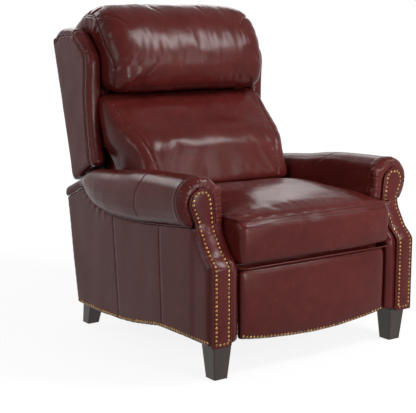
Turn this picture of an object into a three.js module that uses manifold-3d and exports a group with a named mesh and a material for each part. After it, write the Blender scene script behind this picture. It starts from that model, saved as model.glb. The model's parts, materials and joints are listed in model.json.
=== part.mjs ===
// Wingback recliner that opens when the sitter pushes back: the back tips, the seat glides
// forward, and a padded panel swings out on two linkages to carry the feet.
// Millimetres. x runs across the chair (the sitter's left is +x), y from front to back, z up.
// The origin lies on the floor under the middle of the chair.

import * as THREE from 'three';
import { mergeVertices } from 'three/addons/utils/BufferGeometryUtils.js';
import Module from 'manifold-3d';

const wasm = await Module();
wasm.setup();

// Overall
const overallDepth = 1021;
const overallHeight = 1079.5;
const frontY = -overallDepth / 2;
const rearY = overallDepth / 2;
const clearance = 0.3;

// Seat opening and arms
const seatWidth = 594;
const armThickness = 105;
const innerPanelThickness = 12;
const outerPanelThickness = 14;
const panelEdge = 3;
const lumber = 38;
const frameBaseZ = 105;
const armHeight = 581;
const rollDrop = 115;
const armInnerX = seatWidth / 2;
const armOuterX = armInnerX + armThickness;
const woodInnerX = armInnerX + innerPanelThickness + clearance;
const woodOuterX = armOuterX - outerPanelThickness - clearance;
const armTailTopZ = armHeight - rollDrop;

// Steel plates lie in layers side by side, counted inwards from the arm
const layerInset = 6.2;
const plateThickness = 3;
const plateGap = 0.5;
const pinRadius = 4.5;
const pinHeadRadius = 7.5;
const pinHeadThickness = 2;
const linkHalfWidth = 10;
const layerPitch = plateThickness + plateGap;
const layerOneX = armInnerX - layerInset;
const layerTop = (layer) => layerOneX - (layer - 1) * layerPitch;
const layerSpan = (layer) => [layerTop(layer) - plateThickness, layerTop(layer)];

// Tracks, side rails, wood rails and cushion of the seat, from below upwards
const trackHeight = 129;
const trackDrop = 28;
const seatRailGap = 4;
const seatRailHeight = 80;
const railCorner = 15;
const seatWoodRise = 11.7;
const seatWoodHeight = 37;
const seatCushionHeight = 177;
const seatCushionGap = 1.5;
const seatCushionEdge = 12;
const endCrown = 2;
const seatFallShares = { depth: 0.02, height: 0.8, from: 0.74 };
const seatCushionShares = [
  [0.07, 0.006], [0.02, 0.034], [0.003, 0.17], [0, 0.384], [0.002, 0.588], [0.008, 0.712],
  [0.035, 0.774], [0.12, 0.859], [0.3, 0.955], [0.5, 1], [0.7, 0.966], [0.84, 0.864],
  [0.93, 0.78], [0.975, 0.712], [0.997, 0.593], [1, 0.339], [0.991, 0.096], [0.958, 0.017],
  [0.712, 0], [0.365, 0],
];
const trackTopZ = frameBaseZ + trackHeight;
const seatRailLowZ = trackTopZ + seatRailGap;
const seatRailHighZ = seatRailLowZ + seatRailHeight;
const reclinerPivotZ = seatRailHighZ - railCorner;
const seatWoodTopZ = seatRailHighZ + seatWoodRise;
const seatWoodReach = layerSpan(1)[0] - clearance;

// Footrest panel, which closes the front under the seat
const footrestSideGap = 12;
const footrestSetback = 22.5;
const footrestPadThickness = 24.4;
const footrestBoardThickness = 12;
const footrestDrop = 22.7;
const footrestHeight = 222;
const footrestBow = 23;
const footrestEdge = 9;
const footrestCorner = 8;
const footrestBoardInset = 13;
const footrestHalfWidth = armInnerX - footrestSideGap;
const footrestFrontY = frontY + footrestSetback;
const footrestPadRearY = footrestFrontY + footrestPadThickness;
const footrestRearY = footrestPadRearY + clearance + footrestBoardThickness;
const footrestTopZ = seatWoodTopZ - footrestDrop;
const footrestLowZ = footrestTopZ - footrestHeight;

// Back: everything sits in a frame that leans with the back's rear face. Its own y runs
// backwards and its own z up along that face, from a foot above the recline pivot.
const backLean = THREE.MathUtils.degToRad(15.2);
const backFootRise = 209;
const backPanelThickness = 14;
const backPanelEdge = 4;
const backPanelCorner = 10;
const backPanelDrop = 70.6;
const backSkirt = 199;
const backSideGap = 4;
const shoulderGap = 34.4;
const boardDepth = 150;
const boardThickness = 22;
const boardRise = 34;
const wingBlockRise = 72;
const wingBlockDrop = 35;
const wingBlockInset = 5;
const backRailHeight = 60;
const backRailDepth = 38;
const bracketHeadroom = 54.9;
const bracketShares = [[0, 0], [0.16, 0.46], [0.377, 1]];
const backFootZ = reclinerPivotZ + backFootRise;
const backSideX = armInnerX - backSideGap;
const boardOuterX = layerSpan(2)[0] - clearance;
const cushionRest = boardDepth + backPanelThickness + 3 * clearance;
const backPanelLow = -backSkirt;
const boardLow = backPanelLow + boardRise;
const backPanelShoulder = (armTailTopZ + shoulderGap - backFootZ) / Math.cos(backLean);
const wingBlockLow = backPanelShoulder + wingBlockRise;
const bracketHeight = backFootRise + wingBlockLow * Math.cos(backLean) - bracketHeadroom;

// Head pillow: depth shares run from -1 behind the boards, over 0 at their front, to 1
const pillowSideGap = 10;
const pillowDepth = 155;
const pillowHeight = 322.6;
const pillowEdge = 24;
const pillowSeat = 3;
const pillowStepShare = 0.685;
const pillowCrestShare = 0.157;
const pillowFallShares = { depth: 0.04, height: 0.2, from: 0.72 };
const pillowShares = [
  [0.077, 0.081], [0.249, 0.047], [0.561, 0], [0.81, 0.026], [0.929, 0.13], [1, 0.281],
  [0.996, 0.475], [0.858, 0.702], [0.593, 0.888], [0.269, 0.986], [-0.113, 1], [-0.5, 0.958],
  [-0.8, 0.895], [-0.95, 0.8], [-0.92, 0.717], [-0.502, 0.699], [-0.105, 0.702], [0.012, 0.7],
  [0.006, 0.624], [0, 0.391], [0, 0.149],
];
const pillowCrest = cushionRest + pillowCrestShare * pillowDepth;
const pillowHigh = (overallHeight - backFootZ - pillowCrest * Math.sin(backLean)) / Math.cos(backLean);
const pillowLow = pillowHigh - pillowHeight;
const boardHigh = pillowLow + pillowStepShare * pillowHeight;
const backPanelHigh = pillowHigh - backPanelDrop;
const backFootY = rearY - backPanelHigh * Math.sin(backLean);

// Lumbar cushion
const backCushionDepth = 209.8;
const backCushionDrop = 32;
const backCushionTuck = 8;
const backCushionEdge = 16;
const evenFallShares = { depth: 0, height: 0, from: 0.5 };
const backCushionShares = [
  [0.999, 0.162], [0.981, 0.255], [0.965, 0.35], [0.899, 0.51], [0.748, 0.632], [0.554, 0.74],
  [0.408, 0.852], [0.328, 0.935], [0.18, 0.998], [0.061, 1.018], [0.003, 0.99], [0, 0.757],
  [0, 0.518], [0, 0.255], [0.022, 0.076], [0.231, 0.002], [0.41, 0.011], [0.509, 0.076],
  [0.576, 0.143], [0.761, 0.158], [0.928, 0.15],
];
const backCushionLow = boardLow - backCushionDrop;
const backCushionHeight = pillowLow + backCushionTuck - backCushionLow;

// Wings
const wingInset = 25;
const wingThickness = 43;
const wingRim = 1;
const wingDepth = 222;
const wingArmGap = 9;
const wingDrop = 84.5;
const wingEdge = 14;
const wingShares = [
  [0.671, 0.146], [0.671, 0.205], [0.725, 0.385], [0.833, 0.586], [0.937, 0.722], [0.994, 0.805],
  [0.977, 0.86], [0.905, 0.904], [0.8, 0.95], [0.688, 0.987], [0.539, 1], [0.35, 0.998],
  [0.161, 0.987], [0.06, 0.963], [0, 0.935], [0, 0.919], [0, 0.8], [0, 0.546], [0, 0.292],
  [0, 0.083], [0, 0.036], [0, 0.01], [0.07, 0.016], [0.25, 0.059], [0.45, 0.104], [0.6, 0.134],
  [0.655, 0.137],
];
const wingInnerX = armInnerX + wingInset;
const wingOuterX = wingInnerX + wingThickness;
const wingLowZ = armTailTopZ + wingArmGap;
const wingHighZ = overallHeight - wingDrop;

// Places along the seat: its front follows the footrest panel, its rear the back's pivot
const footrestGap = 5.3;
const reclinerInset = 160.3;
const seatRailTail = 18;
const seatRearRailSetback = 128;
const seatCushionTail = 34;
const trackFrontSetback = 16;
const trackRearSetback = 38;
const glideFrontSetback = 67;
const glideRearSetback = 107;
const glideHeight = 14;
const seatRailFrontY = footrestRearY + footrestGap;
const reclinerPivotY = backFootY - reclinerInset;
const seatRailRearY = reclinerPivotY + seatRailTail;
const seatRearRailY = reclinerPivotY - seatRearRailSetback;
const seatCushionRearY = seatRearRailY - seatCushionTail;
const trackFrontY = seatRailFrontY + trackFrontSetback;
const trackRearY = reclinerPivotY - trackRearSetback;

// Zigzag seat springs
const springCount = 5;
const springWaves = 8;
const springWire = 1.9;
const springSwing = 20;
const springDrop = 11.7;
const springCrown = 7;
const springTieShares = [0.3125, 0.6875];
const springZ = seatWoodTopZ - springDrop;
const springPitch = (2 * seatWoodReach) / (springCount + 1);

// Footrest linkage, one on each side. Links A and B are equal cranks, so link C between them
// never turns. Link D runs beside C and turns the panel. Angles are measured from straight
// ahead, upwards, with the footrest shut.
const crankLength = 208;
const crankStart = THREE.MathUtils.degToRad(-123);
const crankSpacing = 265.3;
const crankStagger = 11.7;
const pivotBInset = 7.2;
const pivotBRise = 39.4;
const tipBend = THREE.MathUtils.degToRad(-10);
const tipLength = 22;
const panelPivotReach = 31.3;
const panelPivotDrop = 98;
const panelArm = 32.7;
const panelArmStart = THREE.MathUtils.degToRad(-126.1);
const openPivotPlay = 2.2;
const tieTubeRadius = 9;
const tieTubeReach = 100;
const bracketHalfHeight = 62;
const bracketFlange = 33;
const bracketLobeShares = { pivot: 0.9, above: 0.6, below: 0.5 };

const ahead = ([y, z], length, angle) => [y - length * Math.cos(angle), z + length * Math.sin(angle)];
const pivotB = [seatRailFrontY + pivotBInset, seatRailLowZ + pivotBRise];
const pivotA = [pivotB[0] + crankSpacing, pivotB[1] - crankStagger];
const pinQ = ahead(pivotA, crankLength, crankStart);
const pinS = ahead(pivotB, crankLength, crankStart);
const pinT = ahead(pinS, tipLength, crankStart + tipBend);
const panelPivot = [footrestRearY + panelPivotReach, footrestTopZ - panelPivotDrop];
const pinPanel = ahead(panelPivot, panelArm, panelArmStart);

// Arm outline seen from the side
const postSetback = 15.2;
const postDepth = 85.3;
const postCorner = 16;
const postCornerShare = 0.7;
const postShy = 2;
const armRearInset = 98.3;
const armLean = THREE.MathUtils.degToRad(10.4);
const hemDrop = 38;
const hemRise = 41;
const hemShares = [[0, 1], [0.2, 1], [0.345, 0.92], [0.465, 0.54], [0.63, 0.12], [0.785, 0], [1, 0.02]];
const postFrontY = frontY + postSetback;
const postRearY = postFrontY + postDepth;
const panelFrontY = postRearY + clearance;
const armFootRearY = backFootY - armRearInset;
const hemLowZ = frameBaseZ - hemDrop;

// Rolled arm top
const rollOverhang = 42.5;
const rollInset = 7.5;
const rollLipInset = 5;
const rollHeight = 168;
const rollHeadHeight = 140;
const rollEdgeRadius = 26;
const rollEdgeShare = 0.6;
const rollLip = 40;
const rollSole = 6;
const seamRise = 63;
const topRailEndShare = 0.71;
const rollHeadShares = [0, 0.3, 0.7];
const rollNeckShare = 0.4;
const rollStationShares = [
  0, 0.01, 0.02, 0.06, 0.14, 0.23, 0.32, 0.41, 0.5, 0.58, 0.66, 0.71, 0.75, 0.79, 0.83, 0.87, 0.92, 1,
];
const rollTopShares = [
  [0, 0], [0.159, 0], [0.287, 0.035], [0.415, 0.113], [0.544, 0.25], [0.672, 0.313],
  [0.774, 0.36], [0.819, 0.46], [0.851, 0.6], [0.928, 0.81], [1, 1],
];
const seamShares = [
  [0, 0.52], [0.031, 0.48], [0.223, 0.22], [0.454, 0], [0.582, 0.016], [0.704, 0.19],
  [0.774, 0.52], [0.838, 1], [0.879, 0.9], [0.928, 0.62], [1, 0.27],
];
const bulgeShares = [[0, 1], [0.6, 1], [0.7, 0.85], [0.8, 0.5], [0.85, 0.15], [1, 0.1]];
const lipShares = [[0, 1], [0.6, 1], [0.774, 0.45], [0.838, 0], [1, 0]];
const seamLowZ = armHeight - rollHeight;
const postTopZ = armHeight - rollHeadHeight;

// Facing strip that follows the front of the post up to the face of the roll
const facingThickness = 7;
const facingSweep = 77;
const facingTopDrop = 35;
const facingInset = 32;
const facingOverhang = 13;
const facingSweepShares = [
  [0, 0], [0.51, 0], [0.551, 0.15], [0.594, 0.42], [0.667, 0.69], [0.737, 0.92], [0.79, 1], [1, 1],
];
const facingInnerShares = [
  [0, 0], [0.51, 0], [0.79, 0.05], [0.85, 0.08], [0.914, 0.116], [0.952, 0.174], [0.982, 0.314], [1, 0.5],
];
const facingOuterShares = [
  [0, 0.709], [0.51, 0.709], [0.667, 0.72], [0.79, 0.756], [0.85, 0.884], [0.914, 1],
  [0.952, 0.953], [0.982, 0.802], [1, 0.63],
];
const postStationShares = [0, 0.3, 0.6, 0.66, 0.7, 0.74, 0.78, 0.83, 0.88, 0.94, 1];
const headStationShares = [0.08, 0.16, 0.24, 0.33, 0.42, 0.52, 0.62, 0.72, 0.81, 0.88, 0.94, 0.98, 1];
const facingFrontY = postFrontY - facingThickness - clearance;
const facingTopZ = armHeight - facingTopDrop;
const facingInnerX = armInnerX + facingInset;
const facingWidth = armOuterX + facingOverhang - facingInnerX;

// Legs
const frontLegTop = 66;
const frontLegFoot = 48;
const frontLegInsetX = 17;
const frontLegInsetY = 6;
const rearLegTop = 58;
const rearLegFoot = 43;
const rearLegRake = 19;
const rearLegSetback = 45;
const legChamfer = 4;

// Base rails and rear panel between the arms
const middleRailGap = 20.2;
const middleRailHeight = 45;
const baseRearGap = 4;
const baseRearPanelThickness = 12;
const baseRearPanelRise = 8;
const baseRearPanelDrop = 56;
const middleRailY = pinQ[0] + linkHalfWidth + middleRailGap;
const middleRailLowZ = frameBaseZ - lumber / 2;
const baseRearPanelY = seatRailRearY + baseRearGap;
const baseRearRailY = baseRearPanelY - clearance - lumber;
const baseRearPanelLowZ = hemLowZ + baseRearPanelRise;
const baseRearPanelHighZ = seatRailHighZ - baseRearPanelDrop;
const baseReach = armInnerX - clearance;

// Materials
const leather = (color) => new THREE.MeshStandardMaterial({ color, roughness: 0.42, metalness: 0 });
const wood = (color) => new THREE.MeshStandardMaterial({ color, roughness: 0.55, metalness: 0 });
const metal = (color) => new THREE.MeshStandardMaterial({ color, roughness: 0.4, metalness: 0.8 });
const oxblood = leather('#5f2a2a');
const espresso = wood('#2a1a14');
const pine = wood('#c9a878');
const plywood = wood('#b8966a');
const blackSteel = metal('#2e2e30');
const zincSteel = metal('#9a9ca0');
const nylon = new THREE.MeshStandardMaterial({ color: '#e6e2d8', roughness: 0.5, metalness: 0 });

// Smooth curve through hand-placed [position share, value share] pairs, without overshoot
function through(shares) {
  const rises = shares.slice(1).map(([x, y], i) => (y - shares[i][1]) / (x - shares[i][0]));
  const tangents = shares.map((_, i) => {
    const before = rises[i - 1] ?? rises[0];
    const after = rises[i] ?? rises.at(-1);
    return before * after <= 0 ? 0 : (2 * before * after) / (before + after);
  });
  return (share) => {
    const at = Math.min(Math.max(share, shares[0][0]), shares.at(-1)[0]);
    let i = 0;
    while (i < shares.length - 2 && at > shares[i + 1][0]) i += 1;
    const span = shares[i + 1][0] - shares[i][0];
    const t = (at - shares[i][0]) / span;
    const rest = 1 - t;
    return rest * rest * (1 + 2 * t) * shares[i][1] + t * t * (3 - 2 * t) * shares[i + 1][1]
      + span * t * rest * (rest * tangents[i] - t * tangents[i + 1]);
  };
}

// Hand-placed shares of a rectangle, as points
function spread(shares, lowA, sizeA, lowB, sizeB) {
  return shares.map(([a, b]) => [lowA + a * sizeA, lowB + b * sizeB]);
}

// Closed smooth loop through points
function smoothLoop(points, count) {
  const knots = points.map(([a, b]) => new THREE.Vector3(a, b, 0));
  const curve = new THREE.CatmullRomCurve3(knots, true, 'centripetal');
  return curve.getSpacedPoints(count).slice(0, -1).map(({ x, y }) => [x, y]);
}

function turnOf(points) {
  return Math.sign(THREE.ShapeUtils.area(points.map(([a, b]) => new THREE.Vector2(a, b))));
}

function centreOf(points) {
  const sum = points.reduce(([sa, sb], [a, b]) => [sa + a, sb + b], [0, 0]);
  return [sum[0] / points.length, sum[1] / points.length];
}

// The outline drawn in towards its centre, so that its far sides move by the distance
function drawnIn(points, distance) {
  const [centreA, centreB] = centreOf(points);
  const halfOf = (axis) => {
    const values = points.map((point) => point[axis]);
    return (Math.max(...values) - Math.min(...values)) / 2;
  };
  const [shareA, shareB] = [distance / halfOf(0), distance / halfOf(1)];
  return points.map(([a, b]) => [a - (a - centreA) * shareA, b - (b - centreB) * shareB]);
}

// Closed geometry with its faces turned outwards
function solid(vertices, triangles) {
  const spill = new THREE.Vector3();
  const volume = triangles.reduce((sum, [i, j, k]) => (
    sum + vertices[i].dot(spill.crossVectors(vertices[j], vertices[k]))
  ), 0);
  const outward = volume > 0 ? triangles : triangles.map(([i, j, k]) => [i, k, j]);
  const geometry = new THREE.BufferGeometry();
  const positions = vertices.flatMap((vertex) => vertex.toArray());
  geometry.setAttribute('position', new THREE.Float32BufferAttribute(positions, 3));
  geometry.setIndex(outward.flat());
  geometry.computeVertexNormals();
  return geometry;
}

// Solid skinned over sections with equal numbers of [a, b] points. An end that is star-shaped
// closes as a fan, raised by its section's crown, and any other end closes flat.
function loft(sections, place) {
  const count = sections[0].points.length;
  const vertices = sections.flatMap(({ level, points }) => points.map(([a, b]) => place(a, b, level)));
  const triangles = [];
  for (let s = 0; s + 1 < sections.length; s += 1) {
    for (let i = 0; i < count; i += 1) {
      const next = (i + 1) % count;
      const low = s * count;
      const high = low + count;
      triangles.push([low + i, low + next, high + next], [low + i, high + next, high + i]);
    }
  }
  for (const [index, reversed] of [[0, true], [sections.length - 1, false]]) {
    const { level, points, crown = 0 } = sections[index];
    const turn = turnOf(points);
    const hub = centreOf(points);
    const offset = index * count;
    const fan = points.map((_, i) => [i, (i + 1) % count]);
    const area = ([a, b], [c, d], [e, f]) => (c - a) * (f - b) - (e - a) * (d - b);
    const starry = fan.every(([i, j]) => area(hub, points[i], points[j]) * turn > 0);
    if (starry) {
      vertices.push(place(hub[0], hub[1], level + crown));
      const hubIndex = vertices.length - 1;
      triangles.push(...fan.map(([i, j]) => (
        reversed ? [hubIndex, offset + j, offset + i] : [hubIndex, offset + i, offset + j]
      )));
    } else {
      // Turned a little first, so that points in a straight run aren't skipped
      const middle = new THREE.Vector2();
      const slightTurn = 0.37;
      const contour = points.map(([a, b]) => new THREE.Vector2(a, b).rotateAround(middle, slightTurn));
      const flat = THREE.ShapeUtils.triangulateShape(contour, []);
      const sum = flat.reduce((total, [i, j, k]) => total + area(points[i], points[j], points[k]), 0);
      const kept = (sum * turn > 0) !== reversed;
      triangles.push(...flat.map(([i, j, k]) => (
        kept ? [offset + i, offset + j, offset + k] : [offset + i, offset + k, offset + j]
      )));
    }
  }
  return solid(vertices, triangles);
}

const alongX = (a, b, level) => new THREE.Vector3(level, a, b);
const alongY = (a, b, level) => new THREE.Vector3(a, level, b);
const alongZ = (a, b, level) => new THREE.Vector3(a, b, level);

// Padded panel: an outline with rounded edges
function padded(outline, low, high, edge, place) {
  const steps = 3;
  const rounded = [];
  for (let i = 0; i <= steps; i += 1) {
    const angle = (Math.PI / 2) * (i / steps);
    rounded.push([edge * (1 - Math.sin(angle)), edge * (1 - Math.cos(angle))]);
  }
  const lower = rounded.map(([inwards, up]) => ({ level: low + up, points: drawnIn(outline, inwards) }));
  const upper = rounded.map(([inwards, up]) => ({ level: high - up, points: drawnIn(outline, inwards) }));
  return loft([...lower, ...upper.reverse()], place);
}

// Cushion swept across its width. Towards both crowned ends its edges round off and its section
// shrinks: in depth about its centre, and in height above a share of the section.
function cushion(loop, halfWidth, edge, fallShares) {
  const shares = [0, 0.25, 0.5, 0.7, 0.85, 0.94, 0.98, 1];
  const stations = [...shares.slice(1).reverse().map((share) => -share), ...shares];
  const [centreA] = centreOf(loop);
  const heights = loop.map(([, b]) => b);
  const lowB = Math.min(...heights);
  const baseB = lowB + fallShares.from * (Math.max(...heights) - lowB);
  const sections = stations.map((share) => {
    const x = share * (halfWidth - endCrown);
    const over = Math.max(0, Math.abs(x) - (halfWidth - endCrown - edge)) / edge;
    const rounding = edge * (1 - Math.sqrt(Math.max(0, 1 - over * over)));
    const fall = share ** 4;
    const points = loop.map(([a, b]) => [
      centreA + (a - centreA) * (1 - fallShares.depth * fall),
      b - Math.max(0, b - baseB) * fallShares.height * fall,
    ]);
    return { level: x, points: drawnIn(points, rounding) };
  });
  sections[0].crown = -endCrown;
  sections.at(-1).crown = endCrown;
  return loft(sections, alongX);
}

function box(lowX, highX, lowY, highY, lowZ, highZ) {
  const geometry = new THREE.BoxGeometry(highX - lowX, highY - lowY, highZ - lowZ);
  return geometry.translate((lowX + highX) / 2, (lowY + highY) / 2, (lowZ + highZ) / 2);
}

// Round bar along x between two places
function barX(radius, lowX, highX, [y, z]) {
  const geometry = new THREE.CylinderGeometry(radius, radius, highX - lowX, 16);
  return geometry.rotateZ(Math.PI / 2).translate((lowX + highX) / 2, y, z);
}

// Hole wide enough that the flats of its polygon clear the pin's corners
function roundHole([y, z], pin, play = clearance) {
  const sides = 16;
  const radius = (pin + play) / Math.cos(Math.PI / sides);
  const points = Array.from({ length: sides }, (_, i) => {
    const angle = (2 * Math.PI * i) / sides;
    return new THREE.Vector2(y + radius * Math.cos(angle), z + radius * Math.sin(angle));
  });
  return new THREE.Path(points);
}

// Flat plate in the y-z plane with holes
function plate(points, holes, lowX, highX) {
  const shape = new THREE.Shape(points.map(([y, z]) => new THREE.Vector2(y, z)));
  shape.holes.push(...holes);
  const geometry = new THREE.ExtrudeGeometry(shape, { depth: highX - lowX, bevelEnabled: false });
  const [toY, toZ, toX] = [[0, 1, 0], [0, 0, 1], [1, 0, 0]].map((axis) => new THREE.Vector3(...axis));
  geometry.applyMatrix4(new THREE.Matrix4().makeBasis(toY, toZ, toX));
  return geometry.translate(lowX, 0, 0);
}

// Outline of a round-ended bar along a bent line
function strap(points, halfWidth) {
  const vectors = points.map(([y, z]) => new THREE.Vector2(y, z));
  const runs = vectors.slice(1).map((to, i) => to.clone().sub(vectors[i]).normalize());
  const sides = vectors.map((_, i) => {
    const before = runs[i - 1] ?? runs[0];
    const after = runs[i] ?? runs.at(-1);
    const along = before.clone().add(after).normalize();
    const reach = halfWidth / Math.max(along.dot(after), 0.5);
    return new THREE.Vector2(-along.y, along.x).multiplyScalar(reach);
  });
  const round = (centre, start) => Array.from({ length: 7 }, (_, i) => {
    const angle = start - (Math.PI * (i + 1)) / 8;
    return [centre.x + halfWidth * Math.cos(angle), centre.y + halfWidth * Math.sin(angle)];
  });
  const left = vectors.map((point, i) => [point.x + sides[i].x, point.y + sides[i].y]);
  const right = vectors.map((point, i) => [point.x - sides[i].x, point.y - sides[i].y]);
  return [
    ...left, ...round(vectors.at(-1), sides.at(-1).angle()),
    ...right.reverse(), ...round(vectors[0], sides[0].angle() + Math.PI),
  ];
}

// Boolean join
function fused(...geometries) {
  const wholes = geometries.map((geometry) => {
    const bare = geometry.clone();
    bare.deleteAttribute('normal');
    bare.deleteAttribute('uv');
    const merged = mergeVertices(bare);
    return new wasm.Manifold(new wasm.Mesh({
      numProp: 3,
      vertProperties: new Float32Array(merged.attributes.position.array),
      triVerts: new Uint32Array(merged.index.array),
    }));
  });
  const { vertProperties, triVerts } = wholes.reduce((whole, next) => whole.add(next)).getMesh();
  const geometry = new THREE.BufferGeometry();
  geometry.setAttribute('position', new THREE.BufferAttribute(new Float32Array(vertProperties), 3));
  geometry.setIndex(new THREE.BufferAttribute(new Uint32Array(triVerts), 1));
  geometry.computeVertexNormals();
  return geometry;
}

// The same piece for the other side of the chair
function mirrored(geometry) {
  const flat = geometry.index ? geometry.toNonIndexed() : geometry.clone();
  const source = flat.attributes.position.array;
  const positions = [];
  for (let i = 0; i < source.length; i += 9) {
    for (const corner of [0, 6, 3]) {
      positions.push(-source[i + corner], source[i + corner + 1], source[i + corner + 2]);
    }
  }
  const geometryOut = new THREE.BufferGeometry();
  geometryOut.setAttribute('position', new THREE.Float32BufferAttribute(positions, 3));
  geometryOut.computeVertexNormals();
  return geometryOut;
}

const chair = new THREE.Group();

function add(name, geometry, material, parent = chair) {
  const mesh = new THREE.Mesh(geometry, material);
  mesh.name = name;
  parent.add(mesh);
  return mesh;
}

function addPair(name, geometry, material, parent = chair) {
  add(`${name}_left`, geometry, material, parent);
  add(`${name}_right`, mirrored(geometry), material, parent);
}

// Legs: tapered blocks with eased corners
function easedSquare(centreX, centreY, side) {
  const half = side / 2;
  const eased = half - legChamfer;
  return [
    [half, -eased], [half, eased], [eased, half], [-eased, half],
    [-half, eased], [-half, -eased], [-eased, -half], [eased, -half],
  ].map(([x, y]) => [centreX + x, centreY + y]);
}

function buildLegs() {
  const frontX = armInnerX + frontLegInsetX + frontLegTop / 2;
  const frontLegY = postFrontY + frontLegInsetY + frontLegTop / 2;
  addPair('leg_front', loft([
    { level: 0, points: easedSquare(frontX, frontLegY, frontLegFoot) },
    { level: frameBaseZ - clearance, points: easedSquare(frontX, frontLegY, frontLegTop) },
  ], alongZ), espresso);
  const rearX = woodOuterX - clearance - rearLegTop / 2;
  const rearLegY = armFootRearY - rearLegSetback;
  const footX = rearX + (rearLegTop - rearLegFoot) / 2;
  addPair('leg_rear', loft([
    { level: 0, points: easedSquare(footX, rearLegY + rearLegRake, rearLegFoot) },
    { level: frameBaseZ - clearance, points: easedSquare(rearX, rearLegY, rearLegTop) },
  ], alongZ), espresso);
}

// Arms
const armRearAt = (z) => armFootRearY + (z - hemLowZ) * Math.tan(armLean);
const armTailY = armRearAt(seamLowZ);
const rollFaceY = facingFrontY + facingSweep + facingThickness + clearance;
const rollShareAt = (y) => (y - rollFaceY) / (armTailY - rollFaceY);
const rollTopAt = (y) => armHeight - rollDrop * through(rollTopShares)(rollShareAt(y));
const seamAt = (y) => seamLowZ + seamRise * through(seamShares)(rollShareAt(y));
const lipAt = (y) => seamAt(y) + rollLip * through(lipShares)(rollShareAt(y));
const hemShareAt = (y) => (y - postFrontY) / (armFootRearY - postFrontY);
const hemAt = (y) => hemLowZ + hemRise * through(hemShares)(hemShareAt(y));
const topRailHighZ = seamLowZ + seamRise - clearance;
const topRailLowZ = topRailHighZ - lumber;

// The roll and the panels under it share these places along the arm, so their edges match
const rollTailY = armTailY - clearance;
const rollHeadStations = rollHeadShares.map((share) => rollFaceY + share * (panelFrontY - rollFaceY));
const rollNotchY = panelFrontY - clearance;
const rollBodyStations = rollStationShares.map((share) => rollNotchY + share * (rollTailY - rollNotchY));
const topRailRearY = rollNotchY + topRailEndShare * (rollTailY - rollNotchY);

function sideOutline(lowAt, highAt, hemSteps) {
  const tops = rollBodyStations.map((y, i) => [i ? y : panelFrontY, highAt(y)]);
  const rearFoot = armRearAt(lowAt(armFootRearY));
  const hem = Array.from({ length: hemSteps + 1 }, (_, i) => {
    const y = rearFoot + (i / hemSteps) * (panelFrontY - rearFoot);
    return [y, lowAt(y)];
  });
  return [...tops, ...hem];
}

function buildArmPanels() {
  const outer = sideOutline(hemAt, (y) => seamAt(y) - clearance, 14);
  addPair('arm_outer_panel', padded(
    outer, armOuterX - outerPanelThickness, armOuterX, panelEdge, alongX,
  ), oxblood);
  const inner = sideOutline(() => frameBaseZ, (y) => lipAt(y) - clearance, 2);
  addPair('arm_inner_panel', padded(
    inner, armInnerX, armInnerX + innerPanelThickness, panelEdge, alongX,
  ), oxblood);
  const rear = new THREE.Group();
  rear.position.set(0, armFootRearY, hemLowZ);
  rear.rotation.x = -armLean;
  chair.add(rear);
  const rearHigh = (seamLowZ - hemLowZ) / Math.cos(armLean);
  addPair('arm_rear_panel', box(
    woodInnerX, woodOuterX, -innerPanelThickness, 0, frameBaseZ - hemLowZ, rearHigh,
  ), oxblood, rear);
  const postRear = -innerPanelThickness - clearance;
  const railTop = (frameBaseZ + lumber - hemLowZ) / Math.cos(armLean);
  const postFoot = railTop + lumber * Math.tan(armLean) + clearance;
  addPair('arm_rear_post', box(
    woodInnerX, woodOuterX, postRear - lumber, postRear, postFoot, rearHigh,
  ), pine, rear);
}

function buildArmRails() {
  const railRearY = armRearAt(frameBaseZ) - (innerPanelThickness + clearance) / Math.cos(armLean);
  addPair('arm_bottom_rail', box(
    woodInnerX, woodOuterX, panelFrontY, railRearY, frameBaseZ, frameBaseZ + lumber,
  ), pine);
  addPair('arm_top_rail', box(
    woodInnerX, woodOuterX, panelFrontY, topRailRearY, topRailLowZ, topRailHighZ,
  ), pine);
}

const facingShareAt = (z) => (z - frameBaseZ) / (facingTopZ - frameBaseZ);
const facingYAt = (z) => facingFrontY + facingSweep * through(facingSweepShares)(facingShareAt(z));

// The post and the facing share these heights, so their curved faces match
const postStations = postStationShares.map((share) => frameBaseZ + share * (postTopZ - frameBaseZ));
const headStations = headStationShares.map((share) => postTopZ + share * (facingTopZ - postTopZ));

function buildArmPost() {
  const outerX = armOuterX - postShy;
  const sections = postStations.map((z) => {
    const front = facingYAt(z) + facingThickness + clearance;
    const radius = Math.min(postCorner, (postRearY - front) * postCornerShare);
    const points = [[outerX, postRearY], [armInnerX, postRearY]];
    for (const [centreX, start] of [[armInnerX + radius, 1], [outerX - radius, 1.5]]) {
      for (let i = 0; i <= 4; i += 1) {
        const angle = Math.PI * (start + i / 8);
        points.push([centreX + radius * Math.cos(angle), front + radius + radius * Math.sin(angle)]);
      }
    }
    return { level: z, points };
  });
  addPair('arm_post', loft(sections, alongZ), oxblood);
}

function buildArmFacing() {
  const sections = [...postStations, ...headStations].map((z) => {
    const share = facingShareAt(z);
    const inner = facingInnerX + facingWidth * through(facingInnerShares)(share);
    const outer = facingInnerX + facingWidth * through(facingOuterShares)(share);
    const front = facingYAt(z);
    const rear = front + facingThickness;
    return { level: z, points: [[inner, rear], [inner, front], [outer, front], [outer, rear]] };
  });
  addPair('arm_facing', loft(sections, alongZ), oxblood);
}

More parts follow.
